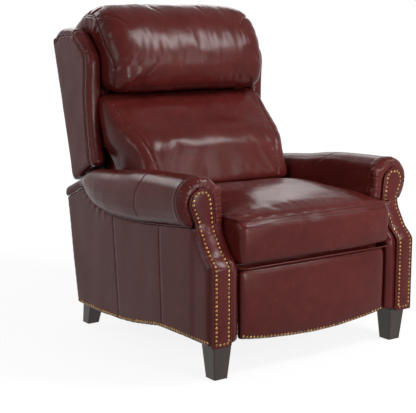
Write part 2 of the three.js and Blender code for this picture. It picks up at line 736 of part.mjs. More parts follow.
// Rolled top: a long padded sleeve that flattens into a tail at the back. Its front is round, but
// square where its inner side runs down into the post. Its underside is notched over the top rail.
function buildArmRoll() {
  const outerReach = armOuterX + rollOverhang;
  const innerReach = armInnerX + rollInset;
  const centreX = (outerReach + innerReach) / 2;
  const arc = 9;
  const sections = [...rollHeadStations, rollNotchY - clearance, ...rollBodyStations].map((y) => {
    const over = Math.max(0, 1 - (y - rollFaceY) / rollEdgeRadius);
    const rounding = rollEdgeRadius * (1 - Math.sqrt(1 - over * over));
    const top = rollTopAt(y) - rounding;
    const seam = seamAt(y);
    const middle = (rollTopAt(y) + seam) / 2;
    const bulge = through(bulgeShares)(rollShareAt(y));
    const right = armOuterX + rollOverhang * bulge - rounding;
    const left = armInnerX + rollInset + rounding * rollEdgeShare;
    const points = [];
    if (y < rollNotchY) {
      const bottom = postTopZ + clearance + rounding;
      const angles = [-60, -45, -30, -15, 0];
      for (let i = 1; i <= 2 * arc; i += 1) angles.push((180 * i) / (2 * arc));
      angles.push(202, 224, 246, 268, 290);
      for (const angle of angles.map(THREE.MathUtils.degToRad)) {
        const power = angle > Math.PI && angle < 1.5 * Math.PI ? rollNeckShare : 1;
        const squared = (value) => Math.sign(value) * Math.abs(value) ** power;
        points.push([
          (right + left) / 2 + ((right - left) / 2) * squared(Math.cos(angle)),
          (top + bottom) / 2 + ((top - bottom) / 2) * squared(Math.sin(angle)),
        ]);
      }
      return { level: y, points };
    }
    const lip = lipAt(y);
    const notch = y < topRailRearY + clearance ? topRailHighZ + clearance : seam + rollSole;
    for (let i = 0; i <= 4; i += 1) {
      const angle = (Math.PI / 2) * (i / 4);
      points.push([
        armOuterX + (right - armOuterX) * Math.sin(angle),
        middle - (middle - seam) * Math.cos(angle),
      ]);
    }
    for (let i = 1; i <= 2 * arc; i += 1) {
      const angle = Math.PI * (i / (2 * arc));
      const reach = angle < Math.PI / 2 ? right - centreX : centreX - left;
      points.push([centreX + reach * Math.cos(angle), middle + (top - middle) * Math.sin(angle)]);
    }
    points.push([armInnerX + rollLipInset, lip]);
    points.push([woodInnerX - clearance, lip], [woodInnerX - clearance, notch]);
    points.push([woodOuterX + clearance, notch], [woodOuterX + clearance, seam]);
    return { level: y, points };
  });
  addPair('arm_roll', loft(sections, alongY), oxblood);
}

// Base rails, rear panel and the tracks that the seat glides on
function buildBase() {
  add('base_middle_rail', box(
    -baseReach, baseReach, middleRailY, middleRailY + lumber,
    middleRailLowZ, middleRailLowZ + middleRailHeight,
  ), pine);
  add('base_rear_rail', box(
    -baseReach, baseReach, baseRearRailY, baseRearRailY + lumber, frameBaseZ, frameBaseZ + lumber,
  ), pine);
  const outline = [
    [-baseReach, baseRearPanelLowZ], [baseReach, baseRearPanelLowZ],
    [baseReach, baseRearPanelHighZ], [-baseReach, baseRearPanelHighZ],
  ];
  add('base_rear_panel', padded(
    outline, baseRearPanelY, baseRearPanelY + baseRearPanelThickness, panelEdge, alongY,
  ), oxblood);
  const flangeInnerX = layerOneX + clearance;
  const webX = baseReach - plateThickness;
  const track = [
    [flangeInnerX, trackTopZ - plateThickness], [webX, trackTopZ - plateThickness],
    [webX, trackTopZ - trackDrop], [baseReach, trackTopZ - trackDrop],
    [baseReach, trackTopZ], [flangeInnerX, trackTopZ],
  ];
  addPair('seat_track', loft([
    { level: trackFrontY, points: track },
    { level: trackRearY, points: track },
  ], alongY), blackSteel);
}

// Pin fixed in a plate of one layer, through the plate of another, with a head beyond it
function pinThrough(place, fromX, toX, headX) {
  const towards = Math.sign(headX - fromX);
  const [lowX, highX] = [fromX, headX].sort((a, b) => a - b);
  const headEnd = headX + towards * pinHeadThickness;
  const [headLow, headHigh] = [headX, headEnd].sort((a, b) => a - b);
  return [barX(pinRadius, lowX, highX, place), barX(pinHeadRadius, headLow, headHigh, place)];
}

// A pin that starts in one layer and heads inwards past another
function inwardPin(place, ownLayer, farLayer) {
  const start = layerTop(ownLayer) - plateThickness / 2;
  const head = layerTop(farLayer) - plateThickness - clearance;
  return pinThrough(place, start, head, head);
}

function buildSeat() {
  const pivot = [reclinerPivotY, reclinerPivotZ];
  const outline = [
    [seatRailFrontY, seatRailLowZ + railCorner], [seatRailFrontY + railCorner, seatRailLowZ],
    [seatRailRearY - railCorner, seatRailLowZ], [seatRailRearY, seatRailLowZ + railCorner],
    [seatRailRearY, seatRailHighZ - railCorner], [seatRailRearY - railCorner, seatRailHighZ],
    [seatRailFrontY + railCorner, seatRailHighZ], [seatRailFrontY, seatRailHighZ - railCorner],
  ];
  const [railLowX, railHighX] = layerSpan(1);
  addPair('seat_rail', fused(
    plate(outline, [], railLowX, railHighX),
    ...inwardPin(pivotA, 1, 2), ...inwardPin(pivotB, 1, 2), ...inwardPin(pivot, 1, 2),
  ), blackSteel);
  const woodLowZ = seatWoodTopZ - seatWoodHeight;
  for (const [name, y] of [['seat_front_rail', seatRailFrontY], ['seat_rear_rail', seatRearRailY]]) {
    add(name, box(-seatWoodReach, seatWoodReach, y, y + lumber, woodLowZ, seatWoodTopZ), pine);
  }
  addPair('seat_glide', box(
    layerOneX + clearance, armInnerX - 2 * clearance,
    trackFrontY + glideFrontSetback, trackRearY - glideRearSetback,
    trackTopZ + clearance, seatRailLowZ + glideHeight,
  ), nylon);
  const restZ = seatWoodTopZ + clearance;
  const loop = smoothLoop(
    spread(seatCushionShares, frontY, seatCushionRearY - frontY, restZ, seatCushionHeight), 30,
  ).map(([y, z]) => [y, Math.max(z, restZ)]);
  add('seat_cushion', cushion(loop, armInnerX - seatCushionGap, seatCushionEdge, seatFallShares), oxblood);
}

function buildSprings() {
  const startY = seatRailFrontY + lumber + clearance + springWire;
  const endY = seatRearRailY - clearance - springWire;
  const sides = 4;
  const ring = Array.from({ length: sides }, (_, i) => {
    const angle = (2 * Math.PI * i) / sides;
    return new THREE.Vector2(springWire * Math.cos(angle), springWire * Math.sin(angle));
  });
  const springs = Array.from({ length: springCount }, (_, row) => {
    const middleX = (row - (springCount - 1) / 2) * springPitch;
    const points = Array.from({ length: springWaves * 6 + 1 }, (_, i) => {
      const share = i / (springWaves * 6);
      const wave = Math.sin(2 * Math.PI * springWaves * share);
      return new THREE.Vector3(
        middleX + springSwing * wave,
        startY + share * (endY - startY),
        springZ + springCrown * Math.sin(Math.PI * share),
      );
    });
    const path = new THREE.CatmullRomCurve3(points);
    return new THREE.ExtrudeGeometry(new THREE.Shape(ring), {
      steps: springWaves * 6, extrudePath: path, bevelEnabled: false,
    });
  });
  const tieReach = springSwing + springPitch * (springCount - 1) / 2;
  const ties = springTieShares.map((share) => barX(springWire, -tieReach, tieReach, [
    startY + share * (endY - startY), springZ + springCrown * Math.sin(Math.PI * share),
  ]));
  add('seat_springs', fused(...springs, ...ties), zincSteel);
}

// Upright panel outline with cut corners
function easedPanel(half, low, high, corner) {
  return [
    [-half + corner, low], [half - corner, low], [half, low + corner], [half, high - corner],
    [half - corner, high], [-half + corner, high], [-half, high - corner], [-half, low + corner],
  ];
}

// Side section in the back's own frame: what lies below the tops of the boards stays in front
// of them, and what lies behind their front stays above them
function backSection(shares, depth, low, height) {
  const reachOf = (share) => share * (share < 0 ? boardDepth : depth);
  const points = shares.map(([a, b]) => [-cushionRest - reachOf(a), low + b * height]);
  return smoothLoop(points, 42).map(([a, b]) => (
    b < boardHigh + clearance ? [Math.min(a, -cushionRest), b] : [a, Math.max(b, boardHigh + pillowSeat)]
  ));
}

function buildBack() {
  const leaning = new THREE.Group();
  leaning.position.set(0, backFootY, backFootZ);
  leaning.rotation.x = -backLean;
  chair.add(leaning);
  const boardRear = -backPanelThickness - clearance;
  const boardFront = boardRear - boardDepth;
  const boardInnerX = boardOuterX - boardThickness;
  addPair('back_board', fused(
    box(boardInnerX, boardOuterX, boardFront, boardRear, boardLow, boardHigh),
    box(
      boardOuterX - boardThickness / 2, wingInnerX - clearance,
      boardFront + wingBlockInset, boardRear - wingBlockInset,
      wingBlockLow, boardHigh - wingBlockDrop,
    ),
  ), plywood, leaning);
  const railReach = boardInnerX - clearance;
  add('back_bottom_rail', box(
    -railReach, railReach, boardRear - backRailDepth, boardRear, boardLow, boardLow + backRailHeight,
  ), pine, leaning);
  add('back_top_rail', box(
    -railReach, railReach, boardFront, boardFront + backRailDepth, boardHigh - backRailHeight, boardHigh,
  ), pine, leaning);
  const outer = easedPanel(wingOuterX - wingRim, backPanelShoulder, backPanelHigh, backPanelCorner);
  add('back_outer_panel', padded(outer, -backPanelThickness, 0, backPanelEdge, alongY), oxblood, leaning);
  const lower = easedPanel(backSideX, backPanelLow, backPanelShoulder - clearance, backPanelEdge);
  add('back_lower_panel', padded(lower, -backPanelThickness, 0, backPanelEdge, alongY), oxblood, leaning);
  const lumbar = backSection(backCushionShares, backCushionDepth, backCushionLow, backCushionHeight);
  add('back_cushion', cushion(lumbar, backSideX, backCushionEdge, evenFallShares), oxblood, leaning);
  const pillow = backSection(pillowShares, pillowDepth, pillowLow, pillowHeight);
  const pillowHalfWidth = wingInnerX - pillowSideGap;
  add('head_pillow', cushion(pillow, pillowHalfWidth, pillowEdge, pillowFallShares), oxblood, leaning);
  const [lowX, highX] = layerSpan(2);
  const bracketPath = spread(bracketShares, reclinerPivotY, bracketHeight, reclinerPivotZ, bracketHeight);
  addPair('back_bracket', plate(
    strap(bracketPath, 2 * linkHalfWidth), [roundHole(bracketPath[0], pinRadius)], lowX, highX,
  ), blackSteel);
}

// Wings: padded side pieces, cut back below so that they pass over the arms.
// Their rear edges stop at the outer back panel.
function buildWings() {
  const panelSetback = (backPanelThickness + clearance) / Math.cos(backLean);
  const panelAt = (z) => backFootY + (z - backFootZ) * Math.tan(backLean) - panelSetback;
  const knots = spread(wingShares, 0, wingDepth, wingLowZ, wingHighZ - wingLowZ);
  const outline = smoothLoop(knots, 48).map(([depth, z]) => [panelAt(z) - Math.max(depth, 0), z]);
  addPair('wing', padded(outline, wingInnerX, wingOuterX, wingEdge, alongX), oxblood);
}

function buildLinks() {
  const [linkLowX, linkHighX] = layerSpan(2);
  const link = (points, holes) => plate(strap(points, linkHalfWidth), holes, linkLowX, linkHighX);
  addPair('link_a', fused(
    link([pivotA, pinQ], [roundHole(pivotA, pinRadius)]), ...inwardPin(pinQ, 2, 3),
  ), blackSteel);
  addPair('link_b', fused(
    link([pivotB, pinS, pinT], [roundHole(pivotB, pinRadius)]),
    ...inwardPin(pinS, 2, 3), ...inwardPin(pinT, 2, 5),
  ), blackSteel);
  const [coupleLowX, coupleHighX] = layerSpan(3);
  addPair('link_c', plate(strap([pinQ, pinS, panelPivot], linkHalfWidth), [
    roundHole(pinQ, pinRadius), roundHole(pinS, pinRadius), roundHole(panelPivot, pinRadius),
  ], coupleLowX, coupleHighX), zincSteel);
  const [turnLowX, turnHighX] = layerSpan(5);
  addPair('link_d', plate(strap([pinT, pinPanel], linkHalfWidth), [
    roundHole(pinT, pinRadius), roundHole(pinPanel, pinRadius, openPivotPlay),
  ], turnLowX, turnHighX), zincSteel);
  const tubeReach = linkLowX - clearance;
  add('link_tie_tube', barX(
    tieTubeRadius, -tubeReach, tubeReach, ahead(pivotA, tieTubeReach, crankStart),
  ), blackSteel);
}

function buildFootrest() {
  const steps = 12;
  const half = footrestHalfWidth;
  const bowed = Array.from({ length: steps + 1 }, (_, i) => {
    const share = (2 * i) / steps - 1;
    return [share * half, footrestLowZ + footrestBow * share * share];
  });
  const outline = [
    ...bowed, [half, footrestTopZ - footrestCorner], [half - footrestCorner, footrestTopZ],
    [-half + footrestCorner, footrestTopZ], [-half, footrestTopZ - footrestCorner],
  ];
  add('footrest_pad', padded(outline, footrestFrontY, footrestPadRearY, footrestEdge, alongY), oxblood);
  const boardHalf = half - footrestBoardInset;
  const boardBase = footrestLowZ + footrestBow + footrestBoardInset / 2;
  add('footrest_board', box(
    -boardHalf, boardHalf, footrestPadRearY + clearance, footrestRearY,
    boardBase, footrestTopZ - footrestBoardInset,
  ), plywood);
  const plateFrontY = footrestRearY + clearance;
  const [lowX, highX] = layerSpan(4);
  const lobe = linkHalfWidth;
  const [pivotY, pivotZ] = panelPivot;
  const outlineSide = [
    [plateFrontY, pivotZ + bracketHalfHeight], [plateFrontY + lobe, pivotZ + bracketHalfHeight],
    [pivotY + lobe * bracketLobeShares.pivot, pivotZ + lobe * bracketLobeShares.pivot],
    [pinPanel[0] + lobe, pinPanel[1] + lobe * bracketLobeShares.above],
    [pinPanel[0] + lobe, pinPanel[1] - lobe * bracketLobeShares.below], [pinPanel[0], pinPanel[1] - lobe],
    [plateFrontY + lobe, pivotZ - bracketHalfHeight], [plateFrontY, pivotZ - bracketHalfHeight],
  ];
  const outwardStart = highX - plateThickness / 2;
  const outwardHead = layerTop(3) + clearance;
  addPair('footrest_bracket', fused(
    plate(outlineSide, [], lowX, highX),
    box(
      highX - bracketFlange, highX, plateFrontY, plateFrontY + plateThickness,
      pivotZ - bracketHalfHeight, pivotZ + bracketHalfHeight,
    ),
    ...pinThrough(panelPivot, outwardStart, outwardHead, outwardHead),
    ...inwardPin(pinPanel, 4, 5),
  ), blackSteel);
}

buildLegs();
buildArmPanels();
buildArmRails();
buildArmPost();
buildArmFacing();
buildArmRoll();
buildBase();
buildSeat();
buildSprings();
buildBack();
buildWings();
buildLinks();
buildFootrest();

export default chair;
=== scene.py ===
import json
import math

import bmesh
import bpy
import numpy as np
from mathutils import Matrix, Vector, noise
from mathutils.bvhtree import BVHTree


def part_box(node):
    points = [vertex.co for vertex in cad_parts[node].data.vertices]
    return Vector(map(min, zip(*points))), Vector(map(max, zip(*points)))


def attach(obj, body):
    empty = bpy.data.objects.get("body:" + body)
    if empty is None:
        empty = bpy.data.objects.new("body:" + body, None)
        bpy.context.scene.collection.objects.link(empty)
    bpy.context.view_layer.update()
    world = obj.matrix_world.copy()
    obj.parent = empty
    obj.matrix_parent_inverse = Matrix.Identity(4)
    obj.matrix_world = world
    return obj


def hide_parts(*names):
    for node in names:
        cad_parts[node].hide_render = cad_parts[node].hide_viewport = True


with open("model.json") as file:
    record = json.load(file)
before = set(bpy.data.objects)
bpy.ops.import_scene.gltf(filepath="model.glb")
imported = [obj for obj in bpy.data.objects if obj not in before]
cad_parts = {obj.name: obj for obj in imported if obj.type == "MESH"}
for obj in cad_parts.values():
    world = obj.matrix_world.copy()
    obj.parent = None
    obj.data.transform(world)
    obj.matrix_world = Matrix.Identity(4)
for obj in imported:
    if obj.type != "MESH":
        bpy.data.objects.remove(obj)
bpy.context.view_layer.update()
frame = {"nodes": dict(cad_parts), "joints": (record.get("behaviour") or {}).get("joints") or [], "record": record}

SIDES = (("left", 1), ("right", -1))
X, Y, Z = 0, 1, 2
LOW, HIGH = 0, 1


def corner(node, end, axis):
    """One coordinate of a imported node's lowest or highest corner."""
    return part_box(node)[end][axis]


def joint_place(name):
    """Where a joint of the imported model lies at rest."""
    joint = next(joint for joint in frame["joints"] if joint["name"] == name)
    return joint["pos_m"]


# Places of the arms
arm_inner_x = corner("arm_inner_panel_left", LOW, X)
arm_outer_x = corner("arm_outer_panel_left", HIGH, X)
arm_height = corner("arm_roll_left", HIGH, Z)
roll_outer_x = corner("arm_roll_left", HIGH, X)
roll_face_y = corner("arm_roll_left", LOW, Y)
roll_tail_y = corner("arm_roll_left", HIGH, Y)
post_front_y = corner("arm_post_left", LOW, Y)
post_rear_y = corner("arm_post_left", HIGH, Y)
post_top_z = corner("arm_post_left", HIGH, Z)
base_z = corner("arm_post_left", LOW, Z)
hem_low_z = corner("arm_outer_panel_left", LOW, Z)
facing_front_y = corner("arm_facing_left", LOW, Y)
facing_inner_x = corner("arm_facing_left", LOW, X)
facing_outer_x = corner("arm_facing_left", HIGH, X)
facing_top_z = corner("arm_facing_left", HIGH, Z)

# The back leans about a foot that lies above and behind the recline pivot
BACK_LEAN = math.radians(15.2)
BACK_FOOT_SETBACK = 0.1603
BACK_FOOT_RISE = 0.209
pivot = joint_place("back_recline")
back_foot_y = pivot[Y] + BACK_FOOT_SETBACK
back_foot_z = pivot[Z] + BACK_FOOT_RISE

# Lines along the arm, as shares of its run from the face of the roll to its tail, and lines up the
# facing and round the wing, as shares of their height and width
ROLL_DROP = 0.115
SEAM_DROP = 0.168
SEAM_RISE = 0.063
HEM_RISE = 0.041
FACING_SWEEP = 0.077
facing_width = facing_outer_x - facing_inner_x
ARM_REAR_INSET = 0.0983
roll_top_shares = [
    (0, 0), (0.159, 0), (0.287, 0.035), (0.415, 0.113), (0.544, 0.25), (0.672, 0.313),
    (0.774, 0.36), (0.819, 0.46), (0.851, 0.6), (0.928, 0.81), (1, 1),
]
seam_shares = [
    (0, 0.52), (0.031, 0.48), (0.223, 0.22), (0.454, 0), (0.582, 0.016), (0.704, 0.19),
    (0.774, 0.52), (0.838, 1), (0.879, 0.9), (0.928, 0.62), (1, 0.27),
]
hem_shares = [(0, 1), (0.2, 1), (0.345, 0.92), (0.465, 0.54), (0.63, 0.12), (0.785, 0), (1, 0.02)]
facing_sweep_shares = [
    (0, 0), (0.51, 0), (0.551, 0.15), (0.594, 0.42), (0.667, 0.69), (0.737, 0.92), (0.79, 1), (1, 1),
]
facing_inner_shares = [
    (0, 0), (0.51, 0), (0.79, 0.05), (0.85, 0.08), (0.914, 0.116), (0.952, 0.174), (0.982, 0.314),
    (1, 0.5),
]
facing_outer_shares = [
    (0, 0.709), (0.51, 0.709), (0.667, 0.72), (0.79, 0.756), (0.85, 0.884), (0.914, 1),
    (0.952, 0.953), (0.982, 0.802), (1, 0.63),
]
wing_shares = [
    (0.671, 0.146), (0.671, 0.205), (0.725, 0.385), (0.833, 0.586), (0.937, 0.722), (0.994, 0.805),
    (0.977, 0.86), (0.905, 0.904), (0.8, 0.95), (0.688, 0.987), (0.539, 1), (0.35, 0.998),
    (0.161, 0.987), (0.06, 0.963), (0, 0.935),
]


def through(shares):
    """Smooth curve through given pairs, without overshoot."""
    xs, ys = np.array(shares, dtype=float).T
    rises = np.diff(ys) / np.diff(xs)
    before = np.concatenate([rises[:1], rises])
    after = np.concatenate([rises, rises[-1:]])
    product = before * after
    total = np.where(product > 0, before + after, 1.0)
    tangents = np.where(product > 0, 2 * product / total, 0.0)

    def at(share):
        share = np.clip(share, xs[0], xs[-1])
        i = np.clip(np.searchsorted(xs, share, side="right") - 1, 0, len(xs) - 2)
        span = xs[i + 1] - xs[i]
        t = (share - xs[i]) / span
        rest = 1 - t
        ends = rest**2 * (1 + 2 * t) * ys[i] + t**2 * (3 - 2 * t) * ys[i + 1]
        return ends + span * t * rest * (rest * tangents[i] - t * tangents[i + 1])

    return at


def roll_share_at(y):
    return (y - roll_face_y) / (roll_tail_y - roll_face_y)


def roll_top_at(y):
    return arm_height - ROLL_DROP * through(roll_top_shares)(roll_share_at(y))


def seam_at(y):
    return arm_height - SEAM_DROP + SEAM_RISE * through(seam_shares)(roll_share_at(y))


def hem_at(y):
    foot_y = back_foot_y - ARM_REAR_INSET
    return hem_low_z + HEM_RISE * through(hem_shares)((y - post_front_y) / (foot_y - post_front_y))


def facing_share_at(z):
    return (z - base_z) / (facing_top_z - base_z)


def facing_y_at(z):
    return facing_front_y + FACING_SWEEP * through(facing_sweep_shares)(facing_share_at(z))


def facing_inner_at(z):
    return facing_inner_x + facing_width * through(facing_inner_shares)(facing_share_at(z))


def facing_outer_at(z):
    return facing_inner_x + facing_width * through(facing_outer_shares)(facing_share_at(z))


# Meshes

WELD = 0.00005
BATCH = 4000
# Pieces that a curve gets between two given points
SPAN_STEPS = 12
# Points that a line is laid out with, from end to end
SHORT_STEPS = 40
HEM_STEPS = 120
POST_STEPS = 150
ROLL_STEPS = 90
BEAD_STEPS = 160
FACING_STEPS = 110
FOOTREST_STEPS = 80
WELT_STEP = 0.006


def made(name, points, faces):
    """A smooth-shaded mesh object."""
    mesh = bpy.data.meshes.new(name)
    mesh.from_pydata([tuple(p) for p in points], [], [tuple(f) for f in faces])
    mesh.validate()
    mesh.polygons.foreach_set("use_smooth", [True] * len(mesh.polygons))
    piece = bpy.data.objects.new(name, mesh)
    bpy.context.scene.collection.objects.link(piece)
    return piece


def points_of(piece):
    flat = np.empty(3 * len(piece.data.vertices))
    piece.data.vertices.foreach_get("co", flat)
    return flat.reshape(-1, 3)


def normals_of(piece):
    flat = np.empty(3 * len(piece.data.vertices))
    piece.data.vertices.foreach_get("normal", flat)
    return flat.reshape(-1, 3)


def move_to(piece, points):
    piece.data.vertices.foreach_set("co", points.ravel())
    piece.data.update()


def push_out(piece, distances):
    """Moves each vertex of a piece outwards by its own distance."""
    move_to(piece, points_of(piece) + normals_of(piece) * distances[:, None])


def band(distance, width):
    """1 near a line, falling softly to 0 about a width away."""
    return np.exp(-((distance / width) ** 4))


def smooth_step(values, low, high):
    t = np.clip((values - low) / (high - low), 0, 1)
    return t * t * (3 - 2 * t)


def settle(piece):
    """Puts the result of a piece's modifiers into its mesh."""
    depsgraph = bpy.context.evaluated_depsgraph_get()
    mesh = bpy.data.meshes.new_from_object(piece.evaluated_get(depsgraph))
    piece.modifiers.clear()
    piece.data = mesh
    mesh.polygons.foreach_set("use_smooth", [True] * len(mesh.polygons))
    mesh.update()


def relax(piece, rounds):
    """Each round moves every vertex halfway to the middle of its neighbours."""
    edges = np.empty(2 * len(piece.data.edges), dtype=int)
    piece.data.edges.foreach_get("vertices", edges)
    one, two = edges.reshape(-1, 2).T
    count = np.bincount(edges, minlength=len(piece.data.vertices))
    points = points_of(piece)
    for _ in range(rounds):
        for axis in (X, Y, Z):
            values = points[:, axis]
            total = np.bincount(one, values[two], len(count)) + np.bincount(two, values[one], len(count))
            points[:, axis] = (values + total / count) / 2
    move_to(piece, points)


def soft_copy(name, nodes, voxel, rounds, blocks=()):
    """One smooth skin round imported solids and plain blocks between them, as a new object."""
    merged = bmesh.new()
    for packed in nodes:
        merged.from_mesh(frame["nodes"][packed].data)
    bmesh.ops.remove_doubles(merged, verts=merged.verts, dist=WELD)
    for low, high in blocks:
        size = Vector(high) - Vector(low)
        place = Matrix.Translation((Vector(high) + Vector(low)) / 2) @ Matrix.Diagonal((*size, 1))
        bmesh.ops.create_cube(merged, size=1, matrix=place)
    mesh = bpy.data.meshes.new(name)
    merged.to_mesh(mesh)
    merged.free()
    piece = bpy.data.objects.new(name, mesh)
    bpy.context.scene.collection.objects.link(piece)
    skin = piece.modifiers.new("skin", "REMESH")
    skin.mode = "VOXEL"
    skin.voxel_size = voxel
    settle(piece)
    relax(piece, rounds)
    return piece


def divide(piece):
    finer = piece.modifiers.new("finer", "SUBSURF")
    finer.levels = 1
    finer.render_levels = 1
    settle(piece)


def mirrored(piece, name):
    """The same piece on the other side of the chair."""
    twin = bpy.data.objects.new(name, piece.data.copy())
    bpy.context.scene.collection.objects.link(twin)
    move_to(twin, points_of(piece) * (-1, 1, 1))
    twin.data.flip_normals()
    return twin


def surface_of(piece):
    polygons = [tuple(p.vertices) for p in piece.data.polygons]
    return BVHTree.FromPolygons([Vector(p) for p in points_of(piece)], polygons)


# Paths


def evenly(path, step):
    """The path again, with its points about a step apart."""
    path = np.array(path, dtype=float)
    run = np.concatenate([[0], np.cumsum(np.linalg.norm(np.diff(path, axis=0), axis=1))])
    count = max(2, int(round(run[-1] / step)) + 1)
    places = np.linspace(0, run[-1], count)
    return np.stack([np.interp(places, run, path[:, axis]) for axis in (X, Y, Z)], axis=1)


def curved(knots, step):
    """Smooth path through given points."""
    knots = np.array(knots, dtype=float)
    first, last = 2 * knots[0] - knots[1], 2 * knots[-1] - knots[-2]
    knots = np.vstack([first, knots, last])
    t = np.linspace(0, 1, SPAN_STEPS + 1)[:-1, None]
    spans = []
    for a, b, c, d in zip(knots, knots[1:], knots[2:], knots[3:]):
        bend = (2 * a - 5 * b + 4 * c - d) + t * (3 * b - a - 3 * c + d)
        spans.append(b + t * ((c - a) + t * bend) / 2)
    return evenly(np.vstack([*spans, knots[-2:-1]]), step)


def laid(path, surface, lift=0.0):
    """The path moved onto a surface, or a lift above it, with the surface's direction at each point."""
    places, outs = [], []
    for point in path:
        place, out, _, _ = surface.find_nearest(Vector(point))
        places.append(place + out * lift)
        outs.append(out)
    return np.array(places), np.array(outs)


def laid_twice(knots, surface):
    """Smooth paths on the left and the right of a piece through the same given points."""
    twice = [[(side * x, y, z) for x, y, z in knots] for _, side in SIDES]
    return [laid(curved(path, WELT_STEP / 2), surface)[0] for path in twice]


def beside(points, path):
    """How far each point lies from a path, and how far along the path its nearest place is."""
    steps = np.linalg.norm(np.diff(path, axis=0), axis=1)
    run = np.concatenate([[0], np.cumsum(steps)])
    distance = np.empty(len(points))
    along = np.empty(len(points))
    for start in range(0, len(points), BATCH):
        batch = points[start:start + BATCH]
        gaps = ((batch[:, None, :] - path[None, :, :]) ** 2).sum(axis=2)
        nearest = gaps.argmin(axis=1)
        distance[start:start + BATCH] = np.sqrt(gaps[np.arange(len(batch)), nearest])
        along[start:start + BATCH] = run[nearest]
    return distance, along


# Sewing

# How folds wander, start and vary along a seam, and over how many folds they do
FOLD_DRIFT = 1.3
FOLD_START = 0.004
FOLD_MEAN = 0.5
FOLD_SWING = 1.1
FOLD_GROUP = 2.3
TUCK_WIDTH = 0.0022
FLAT_SHARE = 0.45
# Roughness, step and count of the layers of noise in uneven leather
RIPPLE_NOISE = (0.8, 2.0, 2)


def press(piece, path, width, depth):
    """A sewn groove along a path."""
    distance, _ = beside(points_of(piece), path)
    push_out(piece, -depth * np.exp(-(distance / width) ** 2))


def pucker(piece, path, pitch, depth, reach, seed):
    """Small folds that start at a seam and fade away from it."""
    distance, along = beside(points_of(piece), path)
    rise = np.zeros(len(distance))
    for i in np.flatnonzero(distance < 3 * reach):
        drift = noise.noise(Vector((along[i] / (3 * pitch), seed, distance[i] / (4 * reach))))
        fold = math.sin(2 * math.pi * (along[i] / pitch + FOLD_DRIFT * drift))
        group = noise.noise(Vector((along[i] / (FOLD_GROUP * pitch), seed + 9, 0)))
        fade = math.exp(-((distance[i] / reach) ** 1.5)) * min(1, distance[i] / FOLD_START)
        rise[i] = depth * (FOLD_MEAN + FOLD_SWING * group) * fold * fade
    push_out(piece, rise)


def pleat(piece, path, pitch, depth, reach):
    """Crisp tucks across a path, with leather stretched flat between them."""
    distance, along = beside(points_of(piece), path)
    place = (along / pitch) % 1
    off = np.minimum(place, 1 - place) * pitch
    tuck = -depth * np.exp(-((off / TUCK_WIDTH) ** 2))
    flat = -FLAT_SHARE * depth * (1 - (1 - 2 * off / pitch) ** 2)
    push_out(piece, (tuck + flat) * np.exp(-((distance / reach) ** 3)))


def ripple(piece, size, depth, seed, stretch=(1, 1, 1)):
    """Gentle unevenness of stuffed leather."""
    scaled = points_of(piece) * np.array(stretch) / size
    rise = np.array([noise.fractal(Vector(p) + Vector((seed, 0, 0)), *RIPPLE_NOISE) for p in scaled])
    push_out(piece, depth * rise)


# Threads, nails and welts

TUBE_SIDES = 8
TUBE_START = (0.3, 0.5, 0.8)
NAIL_SIDES = 12
NAIL_RADIUS = 0.0044
NAIL_HEIGHT = 0.0028
NAIL_PITCH = 0.0128
STITCH_SIDES = 6
STITCH_PITCH = 0.0055
STITCH_LENGTH = 0.0036
STITCH_RADIUS = 0.0006
# Radius and height of the rings of a nailhead, and place and radius of the rings of a stitch
nail_shares = ((1, -0.35), (1, 0), (0.9, 0.42), (0.68, 0.75), (0.36, 0.95))
stitch_shares = ((-0.5, 0.3), (-0.35, 1), (0.35, 1), (0.5, 0.3))


def turns(count):
    """Angles evenly round a circle."""
    return np.arange(count) * 2 * math.pi / count


def ring_faces(start, rings, sides):
    """Faces between rings of points that follow one another."""
    faces = []
    for low in range(start, start + (rings - 1) * sides, sides):
        for i in range(sides):
            j = (i + 1) % sides
            faces.append((low + i, low + j, low + sides + j, low + sides + i))
    return faces


def pointed_skin(points, sides, start, end):
    """Points and faces of a skin over rings of points, closed with a point at each end."""
    faces = ring_faces(0, len(points) // sides, sides)
    last = len(points) - sides
    for i in range(sides):
        j = (i + 1) % sides
        faces += [(len(points), j, i), (len(points) + 1, last + i, last + j)]
    return [*points, start, end], faces


def tube(name, path, radius):
    """A round cord along a path."""
    ahead = np.roll(path, -1, axis=0) - np.roll(path, 1, axis=0)
    ahead[0] = path[1] - path[0]
    ahead[-1] = path[-1] - path[-2]
    ahead /= np.linalg.norm(ahead, axis=1)[:, None]
    side = np.cross(ahead[0], TUBE_START)
    points = []
    for place, along in zip(path, ahead):
        side = side - along * side.dot(along)
        side /= np.linalg.norm(side)
        other = np.cross(along, side)
        for angle in turns(TUBE_SIDES):
            points.append(place + radius * (side * math.cos(angle) + other * math.sin(angle)))
    start, end = path[0] - ahead[0] * radius, path[-1] + ahead[-1] * radius
    return made(name, *pointed_skin(points, TUBE_SIDES, start, end))


def nailhead():
    """Points and faces of a nailhead seen from above: a domed disc with a thin rim."""
    points = []
    for width, rise in nail_shares:
        for angle in turns(NAIL_SIDES):
            reach = width * NAIL_RADIUS
            points.append((reach * math.cos(angle), reach * math.sin(angle), rise * NAIL_HEIGHT))
    return pointed_skin(points, NAIL_SIDES, (0, 0, points[0][Z]), (0, 0, NAIL_HEIGHT))


def nail_row(name, path, outs):
    """Nailheads at each point of a path, facing out."""
    shape, rim = nailhead()
    points, faces = [], []
    for place, out in zip(path, outs):
        turn = Vector(out).to_track_quat("Z", "Y").to_matrix()
        start = len(points)
        points += [np.array(turn @ Vector(p)) + place for p in shape]
        faces += [tuple(start + i for i in face) for face in rim]
    return made(name, points, faces)


